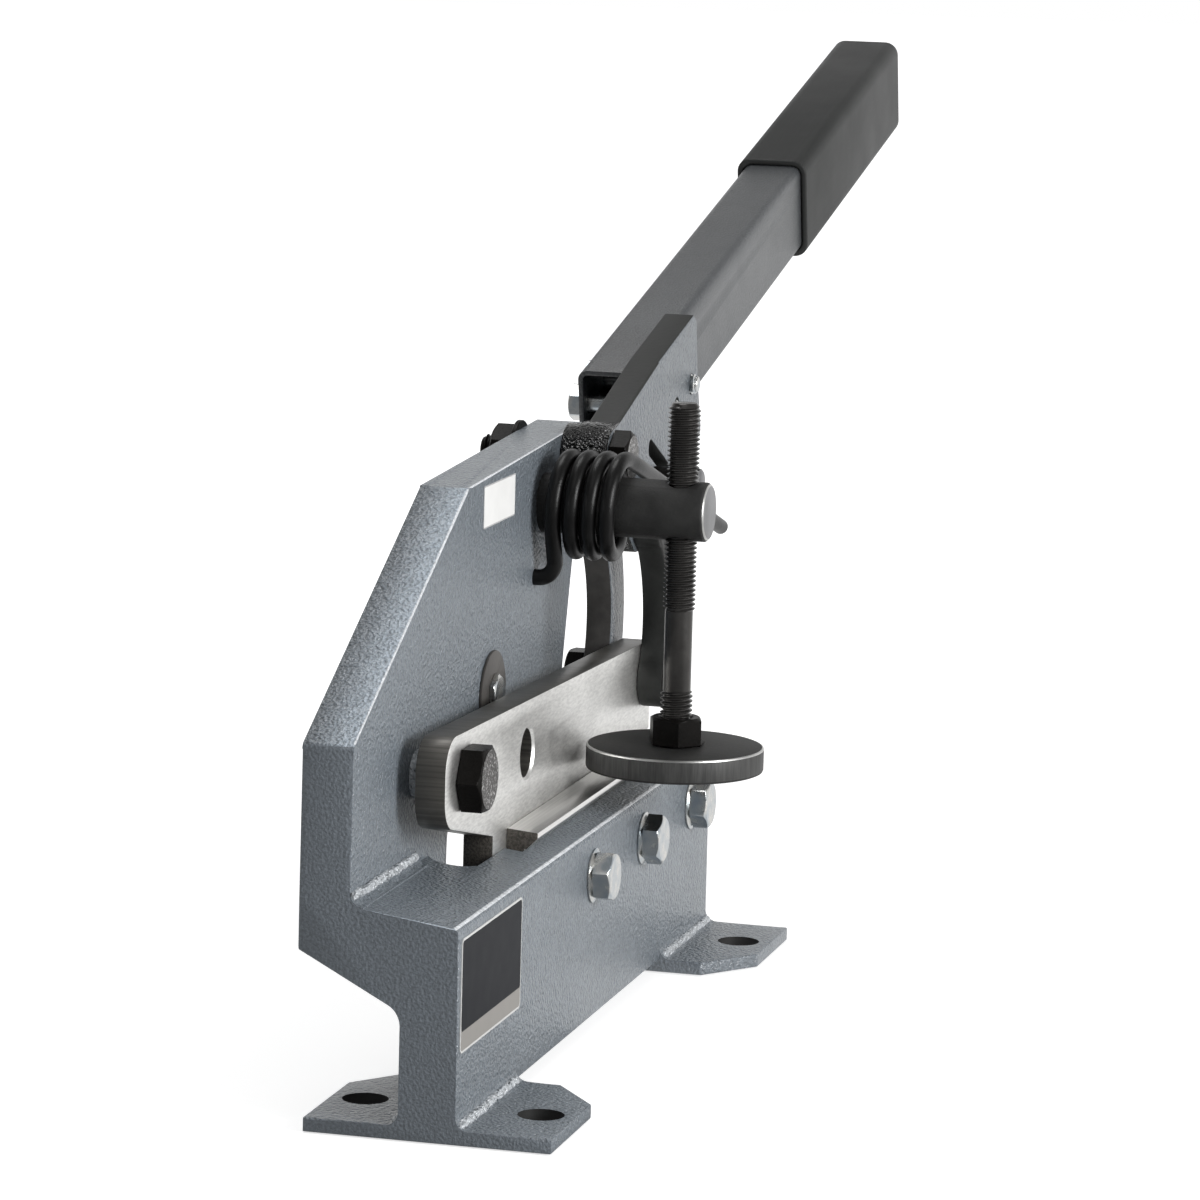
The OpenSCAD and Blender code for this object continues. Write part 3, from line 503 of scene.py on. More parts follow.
def cad_copy(node):
    """A bmesh holding a copy of a CAD node, with flat faces made whole again."""
    bm = bmesh.new()
    bm.from_mesh(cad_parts[node].data)
    bmesh.ops.remove_doubles(bm, verts=bm.verts, dist=1e-6)
    bmesh.ops.dissolve_limit(bm, angle_limit=math.radians(0.5), verts=bm.verts, edges=bm.edges,
                             delimit={"NORMAL"})
    return bm


def round_edges(bm, width, angle, segments=2, where=None, shortest=0.0):
    """Rounds the convex edges sharper than an angle; returns the new faces."""
    limit = math.radians(angle)
    edges = []
    for e in bm.edges:
        if len(e.link_faces) != 2 or e.calc_face_angle(0) < limit:
            continue
        if not e.is_convex or e.calc_length() < shortest:
            continue
        if where and not where((e.verts[0].co + e.verts[1].co) / 2):
            continue
        edges.append(e)
    done = bmesh.ops.bevel(bm, geom=edges, offset=width, offset_type="OFFSET", segments=segments,
                           profile=0.5, affect="EDGES", clamp_overlap=False, material=-1,
                           loop_slide=True)
    return done["faces"]


def joined(bms, mats):
    """The union of closed meshes, as one skin that keeps their faces' materials."""
    objects = []
    for bm in bms:
        mesh = bpy.data.meshes.new("part")
        for key in mats:
            mesh.materials.append(MATERIALS[key])
        bmesh.ops.recalc_face_normals(bm, faces=bm.faces)
        bm.to_mesh(mesh)
        bm.free()
        ob = bpy.data.objects.new("part", mesh)
        bpy.context.scene.collection.objects.link(ob)
        objects.append(ob)
    first = objects[0]
    for other in objects[1:]:
        mod = first.modifiers.new("union", "BOOLEAN")
        mod.operation = "UNION"
        mod.solver = "EXACT"
        mod.object = other
    bpy.context.view_layer.update()
    result = first.evaluated_get(bpy.context.evaluated_depsgraph_get()).to_mesh()
    bm = bmesh.new()
    bm.from_mesh(result)
    for ob in objects:
        mesh = ob.data
        bpy.data.objects.remove(ob)
        bpy.data.meshes.remove(mesh)
    bmesh.ops.remove_doubles(bm, verts=bm.verts, dist=5e-6)
    bmesh.ops.holes_fill(bm, edges=[e for e in bm.edges if e.is_boundary])
    bmesh.ops.dissolve_limit(bm, angle_limit=math.radians(0.5), verts=bm.verts, edges=bm.edges,
                             delimit={"MATERIAL"})
    return bm


def prism(points, start, along, up, out, length):
    """A closed prism: 2-D points on the along and up axes at start, drawn out along out."""
    bm = bmesh.new()
    face = bm.faces.new([bm.verts.new(start + along * a + up * b) for a, b in points])
    drawn = bmesh.ops.extrude_face_region(bm, geom=[face], use_keep_orig=True)
    moved = [v for v in drawn["geom"] if isinstance(v, bmesh.types.BMVert)]
    bmesh.ops.translate(bm, vec=out * length, verts=moved)
    bmesh.ops.recalc_face_normals(bm, faces=bm.faces)
    return bm


def across_axis(axis):
    """Two unit directions across an axis, the first of them level where it can be."""
    side = (X_AXIS if abs(axis.x) < 0.9 else Y_AXIS).copy()
    side = (side - axis * side.dot(axis)).normalized()
    return side, axis.cross(side)


def lathe(bm, origin, axis, profile, steps, ring=False):
    """Turns a profile of (height, radius) pairs in metres round an axis, closed at both ends."""
    axis = axis.normalized()
    side, _ = across_axis(axis)
    own = bmesh.new()
    verts = [own.verts.new(origin + axis * height + side * radius) for height, radius in profile]
    edges = [own.edges.new(pair) for pair in zip(verts, verts[1:])]
    if ring:
        edges.append(own.edges.new((verts[-1], verts[0])))
    bmesh.ops.spin(own, geom=verts + edges, cent=origin, axis=axis, angle=2 * math.pi, steps=steps,
                   use_merge=True)
    bmesh.ops.holes_fill(own, edges=[e for e in own.edges if e.is_boundary])
    return added(bm, own)


def added(bm, own):
    """Moves a closed mesh into another one and returns its vertices there."""
    bmesh.ops.recalc_face_normals(own, faces=own.faces)
    mesh = bpy.data.meshes.new("part")
    own.to_mesh(mesh)
    own.free()
    count = len(bm.verts)
    bm.from_mesh(mesh)
    bpy.data.meshes.remove(mesh)
    bm.verts.ensure_lookup_table()
    return bm.verts[count:]


def cut_to_hexagon(verts, origin, axis, across, turn):
    """Draws a turned shape in to the six flats of a size across flats."""
    axis = axis.normalized()
    side, other = across_axis(axis)
    sixth = math.pi / 3
    for v in verts:
        height = (v.co - origin).dot(axis)
        flat = v.co - origin - axis * height
        angle = math.atan2(flat.dot(other), flat.dot(side))
        limit = across / 2 / math.cos((angle - turn) % sixth - sixth / 2)
        if flat.length > limit:
            v.co = origin + axis * height + flat * (limit / flat.length)


HEAD_STEPS = 72
CHAMFER_STEPS = 6


def hex_head(bm, origin, axis, across, height, turn, washer=0.0, bore=0.0):
    """A hexagon head or nut with the turned chamfer of real ones, open round a bore if given."""
    corner = across / math.sqrt(3)
    face = across * 0.475
    chamfer = (corner - face) * math.tan(math.radians(30))
    top = height - chamfer
    if bore:
        levels = [(bore * 0.08, bore), (0, bore * 1.08), (0, across * 0.46), (chamfer * 0.6, corner)]
    else:
        levels = [(0, across * 0.47), (washer, across * 0.47), (washer, corner)]
    levels.append((top, corner))
    for i in range(1, CHAMFER_STEPS + 1):
        share = i / CHAMFER_STEPS
        levels.append((top + chamfer * share, corner - (corner - face) * share))
    if bore:
        levels += [(height, bore * 1.08), (height - bore * 0.08, bore)]
    turned = lathe(bm, origin, axis, levels, HEAD_STEPS, ring=bool(bore))
    cut_to_hexagon(turned, origin, axis, across, turn)


TOOTH = ((0.0, 0.0), (0.22, 0.0), (0.55, 1.0), (0.68, 1.0), (1.0, 0.0))
TOOTH_DEPTH_SHARE = 0.61


def threaded(bm, origin, axis, radius, length, pitch, steps=36):
    """A right-hand thread: one tooth turned along its helix, cut at both ends and run out there."""
    axis = axis.normalized()
    side, _ = across_axis(axis)
    depth = TOOTH_DEPTH_SHARE * pitch
    turns = math.ceil(length / pitch) + 3
    start = origin - axis * pitch * 1.5
    own = bmesh.new()
    verts = [own.verts.new(start + axis * pitch * h + side * (radius - depth * (1 - r)))
             for h, r in TOOTH]
    edges = [own.edges.new(pair) for pair in zip(verts, verts[1:])]
    bmesh.ops.spin(own, geom=verts + edges, cent=origin, axis=axis, dvec=axis * (pitch / steps),
                   angle=2 * math.pi * turns, steps=steps * turns)
    bmesh.ops.remove_doubles(own, verts=own.verts, dist=1e-6)
    for place, normal in ((origin, -axis), (origin + axis * length, axis)):
        bmesh.ops.bisect_plane(own, geom=own.verts[:] + own.edges[:] + own.faces[:], plane_co=place,
                               plane_no=normal, clear_outer=True)
        rim = [e for e in own.edges if e.is_boundary
               and all(abs((v.co - place).dot(normal)) < 1e-6 for v in e.verts)]
        bmesh.ops.holes_fill(own, edges=rim)
    for v in own.verts:
        height = (v.co - origin).dot(axis)
        flat = v.co - origin - axis * height
        limit = radius - max(0.0, pitch - min(height, length - height)) * 0.9
        if flat.length > limit:
            v.co = origin + axis * height + flat * (limit / flat.length)
    added(bm, own)


def wire(bm, path, radius, widths=None, roundness=4):
    """A closed round wire along points; widths are factors on its radius, one a point."""
    curve = bpy.data.curves.new("wire", "CURVE")
    curve.dimensions = "3D"
    curve.bevel_depth = radius
    curve.bevel_resolution = roundness
    curve.use_fill_caps = True
    spline = curve.splines.new("POLY")
    spline.points.add(len(path) - 1)
    for i, place in enumerate(path):
        spline.points[i].co = (*place, 1)
        spline.points[i].radius = widths[i] if widths else 1
    ob = bpy.data.objects.new("wire", curve)
    bpy.context.scene.collection.objects.link(ob)
    bpy.context.view_layer.update()
    own = bmesh.new()
    own.from_mesh(ob.evaluated_get(bpy.context.evaluated_depsgraph_get()).to_mesh())
    bpy.data.objects.remove(ob)
    bpy.data.curves.remove(curve)
    bmesh.ops.remove_doubles(own, verts=own.verts, dist=1e-7)
    added(bm, own)


def gathered(bms):
    """Closed meshes put side by side in one bmesh, without a union."""
    whole = bmesh.new()
    for bm in bms:
        mesh = bpy.data.meshes.new("part")
        bm.to_mesh(mesh)
        bm.free()
        whole.from_mesh(mesh)
        bpy.data.meshes.remove(mesh)
    return whole


def paint_faces(bm, index, test):
    """Gives the faces that pass a test a material slot."""
    for f in bm.faces:
        if test(f):
            f.material_index = index


# Pieces of the frame

FRAME_NODES = ("web", "shelf", "arm", "foot_near", "foot_far")
SHELF_TOP = 78.2
CROWN_FROM = SHELF_TOP + 0.9
CROWN_STRIPS = 8
# Heights and depth from which the frame's edges and near slope take painted highlights.
HIGHLIGHT_FROM = 70.0
HIGHLIGHT_DEPTH = 2.0
ARM_HIGHLIGHT_FROM = 120.0
HOLE_SPACING = (287.0, 62.0)
HOLE_REACH = 8.5


def crowned_arm():
    """The arm with the faint crown of a rolled bar on its near faces."""
    crown = bpy.context.scene.shear_edges.crown
    bm = cad_copy("arm")
    y0, y1 = sides("arm")[2:4]
    cuts = [(Y_AXIS, at(0, y0 + (y1 - y0) * k / CROWN_STRIPS, 0)) for k in range(1, CROWN_STRIPS)]
    cuts.append((Z_AXIS, at(0, 0, CROWN_FROM)))
    for normal, place in cuts:
        bmesh.ops.bisect_plane(bm, geom=bm.verts[:] + bm.edges[:] + bm.faces[:], plane_no=normal,
                               plane_co=place)
    bm.normal_update()
    near = {v for f in bm.faces if f.normal.x < -0.3 for v in f.verts}
    half = (y1 - y0) / 2 * MM
    for v in near:
        if v.co.z > (CROWN_FROM + 0.1) * MM:
            share = (v.co.y - at(0, y0, 0).y) / half - 1
            v.co.x += crown * share * share
    return bm


def build_frame_skin():
    """Web, shelf, arm and feet as one welded and painted skin, with painted highlights on its upper
    front corners and near slope, and painted shade in the foot holes.
    """
    edges = bpy.context.scene.shear_edges
    skins = ["frame", "frame_edge_highlight", "inside", "frame_end", "frame_slope_highlight"]
    bm = joined([crowned_arm() if node == "arm" else cad_copy(node) for node in FRAME_NODES], skins)
    weld = at(0, sides("arm")[2] - 2, SHELF_TOP + 2)

    def away_from_weld(place):
        return not (abs(place.y - weld.y) < 3 * MM and abs(place.z - weld.z) < 4 * MM)

    rounded = round_edges(bm, edges.cast_radius, angle=25, shortest=4 * MM, where=away_from_weld)
    bm.normal_update()
    highlight_z, arm_highlight_z = HIGHLIGHT_FROM * MM, ARM_HIGHLIGHT_FROM * MM
    highlight_y = at(0, HIGHLIGHT_DEPTH, 0).y
    paint_faces(bm, skins.index("frame_end"), lambda f: f.normal.x < -0.8)
    # The arm's near slope takes the paint with its painted highlight.
    paint_faces(bm, skins.index("frame_slope_highlight"), lambda f: -0.8 < f.normal.x < -0.3
                and f.normal.z > 0.5 and f.calc_center_median().z > highlight_z)
    # Rounded strips on the web's and arm's upper front corners take light paint: painted highlight
    # lines.
    for f in rounded:
        place, out = f.calc_center_median(), f.normal
        on_web = place.y < highlight_y and place.z > highlight_z and out.z > 0.6
        on_arm = place.z > arm_highlight_z and out.y < -0.2 and out.z > 0.15
        if on_web or on_arm:
            f.material_index = skins.index("frame_edge_highlight")
    # Walls of the foot holes take black: painted shade.
    wide, deep = HOLE_SPACING
    holes = [at(x, y, 0).to_2d() for x in ((WEB_L - wide) / 2, (WEB_L + wide) / 2)
             for y in ((WEB_T - deep) / 2, (WEB_T + deep) / 2)]
    paint_faces(bm, skins.index("inside"), lambda f: abs(f.normal.z) < 0.3 and any(
        (f.calc_center_median().to_2d() - hole).length < HOLE_REACH * MM for hole in holes))
    finish_piece("frame_skin", bm, "frame", skins, FRAME_NODES, 30)


SHELF_BEAD_RADIUS = 1.75
SHELF_BEAD_SHORT = 16.0
FOOT_BEAD_RADIUS = 1.9
FOOT_BEAD_DEPTH = 0.9
BEAD_STEP = 0.5 * MM


def weld_bead(bm, start, end, radius, seed):
    """A run of weld: overlapping drops, a little uneven in width and line."""
    pitch = bpy.context.scene.shear_threads.weld_pitch
    length = (end - start).length
    line = (end - start).normalized()
    side = line.orthogonal()
    other = line.cross(side)
    count = max(2, int(length / BEAD_STEP))
    path, widths = [], []
    for i in range(count + 1):
        place = start.lerp(end, i / count)
        s = (place - start).length
        drift = noise.noise(Vector((s * 90, seed, 0))) * radius * 0.22
        rise = noise.noise(Vector((seed, s * 70, 3))) * radius * 0.16
        path.append(place + side * drift + other * rise)
        left = min(s, length - s)
        drop = abs(math.sin(math.pi * s / pitch + noise.noise(Vector((s * 60, 0, seed))) * 1.2))
        ends = min(1.0, 0.35 + left / (radius * 1.6))
        uneven = noise.noise(Vector((s * 200, seed, 7)))
        widths.append(ends * (0.82 + 0.20 * drop + 0.10 * uneven))
    wire(bm, path, radius, widths)


def build_welds():
    """Painted weld beads in the corners: arm to shelf, and the feet to the web."""
    _, foot_x, _, _, _, foot_z = sides("foot_near")
    shelf_x = sides("shelf")[1]
    bm = bmesh.new()
    bead_y, bead_z = sides("arm")[2] - 0.6, SHELF_TOP + 3.1
    weld_bead(bm, at(0.6, bead_y, bead_z), at(shelf_x - SHELF_BEAD_SHORT, bead_y, bead_z),
              SHELF_BEAD_RADIUS * MM, 1)
    bead_z = foot_z + FOOT_BEAD_DEPTH
    for k, (x0, x1) in enumerate(((0.8, foot_x - 2), (WEB_L - foot_x + 2, WEB_L - 0.8))):
        for j, y in enumerate((-FOOT_BEAD_DEPTH, WEB_T + FOOT_BEAD_DEPTH)):
            weld_bead(bm, at(x0, y, bead_z), at(x1, y, bead_z), FOOT_BEAD_RADIUS * MM,
                      11 + k * 10 + j)
    # The beads' light paint is a painted highlight along them.
    finish_piece("weld_beads", bm, "frame", ["bead"], (), 60)


LABEL_BOX = (3.0, 76.6, 30.4, 69.6)
LABEL_RIM = 0.8
LABEL_FOOT_SHARE = 0.24
STICKER_BOX = (150.6, 191.4, 185.0, 200.4)
STICKER_RIM = 0.5


def flat_plate(x0, x1, z0, z1, y, thick, corner, index):
    """A thin upright plate with round corners, standing proud of the face at y."""
    wide, high = (x1 - x0) * MM, (z1 - z0) * MM
    plate = prism([(0, 0), (wide, 0), (wide, high), (0, high)], at(x0, y + 0.02, z0), X_AXIS, Z_AXIS,
                  -Y_AXIS, thick * MM)
    upright = [e for e in plate.edges if abs((e.verts[0].co - e.verts[1].co).normalized().y) > 0.9]
    bmesh.ops.bevel(plate, geom=upright, offset=corner * MM, offset_type="OFFSET", segments=5,
                    profile=0.5, affect="EDGES", material=-1)
    for f in plate.faces:
        f.material_index = index
    return plate


def build_labels():
    """A bare dark plate with a light border on the web, and a bare sticker on the arm."""
    x0, x1, z0, z1 = LABEL_BOX
    rim = LABEL_RIM
    split = z0 + (z1 - z0) * LABEL_FOOT_SHARE
    layers = [flat_plate(x0, x1, z0, z1, 0, 0.3, 2.2, 1),
              flat_plate(x0 + rim, x1 - rim, z0 + rim, split, 0, 0.36, 1.4, 2),
              flat_plate(x0 + rim, x1 - rim, split - 2, z1 - rim, 0, 0.38, 1.4, 0)]
    finish_piece("web_plate", gathered(layers), "frame", ["label", "label_edge", "label_foot"], (),
                 40)
    x0, x1, z0, z1 = STICKER_BOX
    rim = STICKER_RIM
    face = sides("arm")[2]
    layers = [flat_plate(x0, x1, z0, z1, face, 0.12, 0.8, 1),
              flat_plate(x0 + rim, x1 - rim, z0 + rim, z1 - rim, face, 0.16, 0.5, 0)]
    finish_piece("arm_sticker", gathered(layers), "frame", ["sticker", "sticker_edge"], (),
                 40)


# The blades

PLAIN_HOLE = (152.5, 105.1)
PLAIN_HOLE_REACH = 10.0
PLAIN_HOLE_CHAMFER = 0.9
HEEL_STEP = (100.0, 113.0)


def build_lower_blade():
    """The ground lower blade, with its dark near end."""
    edges = bpy.context.scene.shear_edges
    bm = cad_copy("lower_blade")
    round_edges(bm, edges.machined_radius, angle=20)
    end_x = at(sides("lower_blade")[0] + 0.4, 0, 0).x
    paint_faces(bm, 1, lambda f: f.calc_center_median().x < end_x)
    finish_piece("low_blade", bm, "frame", ["ground", "torn"], ("lower_blade",), 30)


def build_moving_blade():
    """The moving blade: a ground face, cross-milled edges and a torn step under the heel."""
    edges = bpy.context.scene.shear_edges
    bm = cad_copy("moving_blade")
    x, z = PLAIN_HOLE
    hole = at(x, 0, z)
    face_y = at(0, sides("moving_blade")[2] + 0.1, 0).y

    def on_hole(place):
        away = Vector((place.x - hole.x, place.z - hole.z)).length
        return place.y < face_y and away < PLAIN_HOLE_REACH * MM

    round_edges(bm, PLAIN_HOLE_CHAMFER * MM, angle=28, segments=1, where=on_hole)
    round_edges(bm, edges.plate_radius, angle=50)
    near_x, far_x = (at(x, 0, 0).x for x in HEEL_STEP)
    paint_faces(bm, 1, lambda f: abs(f.normal.y) < 0.6)
    paint_faces(bm, 2, lambda f: abs(f.normal.y) < 0.6 and f.normal.x < -0.6
                and near_x < f.calc_center_median().x < far_x)
    finish_piece("blade_piece", bm, "blade", ["forged", "milled", "torn"], ("moving_blade",),
                 32)


# Bolts, nuts and pins

FLAT_UP = math.pi / 6
CORNER_UP = 0.0


def way_along_y(y_from, y_to):
    """The direction from one y to another."""
    return Y_AXIS if y_to > y_from else -Y_AXIS


def head_along_y(bm, x, z, y_from, y_to, across, turn, washer=0.0):
    """A hexagon head along Y from its seat y_from to its outer face y_to."""
    hex_head(bm, at(x, y_from, z), way_along_y(y_from, y_to), across * MM, abs(y_to - y_from) * MM,
             turn, washer * MM)


def thread_along_y(bm, x, z, y_from, y_to, radius, pitch):
    """A thread along Y from y_from to its free end y_to."""
    threaded(bm, at(x, y_from, z), way_along_y(y_from, y_to), radius * MM, abs(y_to - y_from) * MM,
             pitch)


def shank_along_y(bm, x, z, y_from, y_to, radius, steps=40):
    """A plain round shank along Y."""
    lathe(bm, at(x, y_from, z), Y_AXIS, [(0, radius * MM), ((y_to - y_from) * MM, radius * MM)],
          steps)


NUT_WASHER = 2.0
PIVOTS = (
    # The pivot's ring wears the light bead paint, painted light over its shade; the lever's ring wears
    # the flame-cut beads with their painted seam shade.
    ("pivot", 7.0, 21.7, CORNER_UP, "bead", "frame_paint"),
    ("lever", 6.0, 18.0, FLAT_UP, "beaded", "black_steel"),
)


def build_pivot_bolts():
    """The two big black bolts with their rings and nuts."""
    pitch = bpy.context.scene.shear_threads.bolt_pitch
    seat = sides("lever_plate")[2] - 0.1
    for name, radius, across, turn, skin, slot in PIVOTS:
        x, _, z = middle(name + "_spacer")
        head_y, end_y = sides(name + "_bolt")[2:4]
        nut_y0, nut_y1 = sides(name + "_nut")[2:4]
        bm = bmesh.new()
        head_along_y(bm, x, z, seat, head_y, across, turn, 0.35)
        shank_along_y(bm, x, z, seat - 2, nut_y1 - 3, radius)
        thread_along_y(bm, x, z, nut_y1 - 3, end_y, radius, pitch)
        face_y = at(0, head_y + 0.25, 0).y
        # The head's outer face: dark forge scale with painted glints.
        paint_faces(bm, 1, lambda f: f.normal.y < -0.9 and f.calc_center_median().y < face_y)
        finish_piece(name + "_bolt_piece", bm, "frame", ["black", "scale"], (name + "_bolt",),
                     28)
        bm = bmesh.new()
        if name == "lever":
            washer = [(0, 11.8), (0.3, 12), (NUT_WASHER - 0.3, 12), (NUT_WASHER, 11.7)]
            lathe(bm, at(x, nut_y0, z), Y_AXIS, [(h * MM, r * MM) for h, r in washer], 48)
            nut_y0 += NUT_WASHER
        hex_head(bm, at(x, nut_y0, z), Y_AXIS, across * MM, (nut_y1 - nut_y0) * MM, turn,
                 bore=(radius + 0.05) * MM)
        finish_piece(name + "_nut_piece", bm, "frame", ["black"], (name + "_nut",), 28)
        bm = cad_copy(name + "_spacer")
        round_edges(bm, 0.3 * MM, angle=30)
        finish_piece(name + "_ring", bm, "frame", [skin], (name + "_spacer",), 28)


BLADE_BOLTS = ((174, 0.25), (246, 0.0), (320, -0.2))
FLANGE = 1.7
BLADE_BOLT_HEAD = 16.5
TUBE_BOLTS = ((361, 206.5), (384, 213.5))
TUBE_BOLT_HEAD = 13.0
TUBE_BOLT_TURN = 0.4


def build_zinc_bolts():
    """Flange bolts of the lower blade, the guide's bolt and disc, and the tube's bolts."""
    pitch = bpy.context.scene.shear_threads.bolt_pitch
    bm = bmesh.new()
    _, _, y0, y1, z0, z1 = sides("blade_bolts")
    z, r = (z0 + z1) / 2, (z1 - z0) / 2
    flange = [(0, r - 0.5), (0.25, r), (0.7, r), (1.5, r - 1.6), (2.1, 8.2)]
    for x, spin in BLADE_BOLTS:
        lathe(bm, at(x, 0, z), -Y_AXIS, [(h * MM, q * MM) for h, q in flange], 64)
        head_along_y(bm, x, z, -FLANGE, y0, BLADE_BOLT_HEAD, FLAT_UP + spin)
        shank_along_y(bm, x, z, -1, y1, 5, 32)
    finish_piece("low_blade_bolts", bm, "frame", ["zinc"], ("blade_bolts",), 28)

    bm = bmesh.new()
    x, _, z = middle("guide_disc")
    seat = sides("guide_disc")[2]
    x0, x1, y0, y1, _, _ = sides("guide_bolt")
    head_along_y(bm, x, z, seat, y0, x1 - x0, FLAT_UP, 0.2)
    shank_along_y(bm, x, z, seat - 1, y1, 3, 24)
    finish_piece("guide_bolt_piece", bm, "frame", ["zinc"], ("guide_bolt",), 28)
    bm = cad_copy("guide_disc")
    round_edges(bm, 0.4 * MM, angle=30)
    finish_piece("guide_washer", bm, "frame", ["washer"], ("guide_disc",), 28)

    bm = bmesh.new()
    end_y, head_y = sides("tube_bolts")[2:4]
    tube_y = sides("lever_tube")[3]
    plate_y = sides("lever_plate")[2]
    for (x, z), thread_y in zip(TUBE_BOLTS, (plate_y, end_y)):
        head_along_y(bm, x, z, tube_y, head_y, TUBE_BOLT_HEAD, TUBE_BOLT_TURN, 0.3)
        shank_along_y(bm, x, z, plate_y + 1, plate_y + tube_y - 19, 4, 32)
        thread_along_y(bm, x, z, plate_y + 2, thread_y, 4.0, pitch * 0.85)
    finish_piece("tube_bolts_piece", bm, "lever", ["zinc"], ("tube_bolts",), 28)


LINK_NUT_HEIGHT = 7.6
PIN_DOME = ((1.4, 5.0), (1.4, 6.2), (0.9, 6.0), (0.35, 5.2), (0, 3.2))


def build_links():
    """Front and rear links, the riveted upper pin and the lower bolt with its nut."""
    edges = bpy.context.scene.shear_edges
    pitch = bpy.context.scene.shear_threads.bolt_pitch
    for node, skins in (("link_front", ["black", "lever_edge"]), ("link_rear", ["plate", "edge_steel"])):
        bm = cad_copy(node)
        round_edges(bm, edges.plate_radius, angle=28)
        paint_faces(bm, 1, lambda f: abs(f.normal.y) < 0.6)
        finish_piece(node + "_piece", bm, "links", skins, (node,), 32)

    bm = bmesh.new()
    x, _, z = middle("link_pin")
    y0, y1 = sides("link_pin")[2:4]
    profile = [(0, 4.6), (0.3, 5.0)] + [(y1 - y0 - h, r) for h, r in PIN_DOME]
    lathe(bm, at(x, y0, z), Y_AXIS, [(h * MM, r * MM) for h, r in profile], 40)
    finish_piece("link_pin_piece", bm, "links", ["black"], ("link_pin",), 28)

    bm = bmesh.new()
    x, _, z = middle("link_bolt")
    front, rear = sides("link_front")[2], sides("link_rear")[3]
    y0, y1 = sides("link_bolt")[2:4]
    head_along_y(bm, x, z, front, y0, 18.0, CORNER_UP, 0.3)
    shank_along_y(bm, x, z, front - 2, rear + 2, 6)
    hex_head(bm, at(x, rear, z), Y_AXIS, 18 * MM, LINK_NUT_HEIGHT * MM, CORNER_UP, bore=6.05 * MM)
    thread_along_y(bm, x, z, rear + 2, y1, 6.0, pitch)
    finish_piece("link_bolt_piece", bm, "links", ["black"], ("link_bolt",), 28)


# The spring and its bar

SPRING_WIRE = 6.0
COIL_RADIUS = 17.5
COIL_PITCH = 6.8
COIL_TURNS = 3
COIL_START = math.radians(200)
COIL_END = math.radians(73.3)
COIL_STEPS = 214
REAR_LEG_Y = 30.3
REAR_LEG_STEPS = 5
HOOK_RADIUS = 6.0
HOOK_DEPTH = 7.0
HOOK_Z = 158.0
HOOK_STEPS = 12
FRONT_LEG = 153.0
FRONT_LEG_Y = 6.6
FRONT_LEG_EASE = 16.0
FRONT_LEG_STEPS = 40


def spring_path():
    """The spring's line: hook in the arm, bend, rear leg, coil and front leg."""
    x, _, z = middle("crossbar")
    start_x = x + COIL_RADIUS * math.cos(COIL_START)
    start_z = z + COIL_RADIUS * math.sin(COIL_START)
    bend_z = HOOK_Z + HOOK_RADIUS
    bend_y = REAR_LEG_Y + HOOK_RADIUS
    hook_x = start_x + (start_z - bend_z) / math.tan(math.pi * 3 / 2 - COIL_START)
    points = [at(hook_x, bend_y + HOOK_DEPTH + SPRING_WIRE - i * 3, HOOK_Z) for i in range(4)]
    for i in range(HOOK_STEPS + 1):
        a = math.pi / 2 * i / HOOK_STEPS
        points.append(at(hook_x, bend_y - HOOK_RADIUS * math.sin(a), bend_z - HOOK_RADIUS * math.cos(a)))
    low, top = at(hook_x, REAR_LEG_Y, bend_z), at(start_x, REAR_LEG_Y, start_z)
    points += [low.lerp(top, i / REAR_LEG_STEPS) for i in range(1, REAR_LEG_STEPS)]
    swept = COIL_TURNS * 2 * math.pi + COIL_START - COIL_END
    for i in range(COIL_STEPS + 1):
        turned = swept * i / COIL_STEPS
        a = COIL_START - turned
        y = REAR_LEG_Y - COIL_PITCH * turned / (2 * math.pi)
        points.append(at(x + COIL_RADIUS * math.cos(a), y, z + COIL_RADIUS * math.sin(a)))
    end_x = x + COIL_RADIUS * math.cos(COIL_END)
    end_z = z + COIL_RADIUS * math.sin(COIL_END)
    end_y = REAR_LEG_Y - COIL_PITCH * swept / (2 * math.pi)
    out = COIL_END - math.pi / 2
    for i in range(1, FRONT_LEG_STEPS + 1):
        s = FRONT_LEG * i / FRONT_LEG_STEPS
        u = min(1.0, s / FRONT_LEG_EASE)
        y = end_y + (FRONT_LEG_Y - end_y) * u * (2 - u)
        points.append(at(end_x + s * math.cos(out), y, end_z + s * math.sin(out)))
    return points


def build_spring():
    """The torsion spring as one round wire with sheared ends."""
    bm = bmesh.new()
    wire(bm, spring_path(), SPRING_WIRE / 2 * MM, roundness=8)
    finish_piece("spring_wire_piece", bm, "frame", ["spring"], ("spring",), 40)


def build_bars():
    """The spring's bar with its rod hole, and the lever's peg."""
    bm = cad_copy("crossbar")
    round_edges(bm, 0.4 * MM, angle=30)
    end_y = at(0, sides("crossbar")[2] + 0.6, 0).y
    # The bar end's chamfer takes the light steel: a painted highlight line.
    paint_faces(bm, 2, lambda f: f.normal.y < -0.2 and f.calc_center_median().y < end_y)
    paint_faces(bm, 1, lambda f: f.normal.y < -0.95 and f.calc_center_median().y < end_y)
    finish_piece("bar_piece", bm, "frame", ["matt", "cut_end", "bright_edge"], ("crossbar",),
                 32)

    bm = bmesh.new()
    x, _, z = middle("spring_peg")
    x0, x1, y0, y1, _, _ = sides("spring_peg")
    r, run = (x1 - x0) / 2, y1 - y0
    profile = [(0, r), (run - 1, r), (run - 0.2, r - 0.9), (run, r - 1.3)]
    lathe(bm, at(x, y1, z), -Y_AXIS, [(h * MM, q * MM) for h, q in profile], 40)
    tip_y = at(0, y0 + 1.2, 0).y
    paint_faces(bm, 1, lambda f: f.calc_center_median().y < tip_y)
    finish_piece("peg_piece", bm, "lever", ["black", "cut_end"], ("spring_peg",), 40)


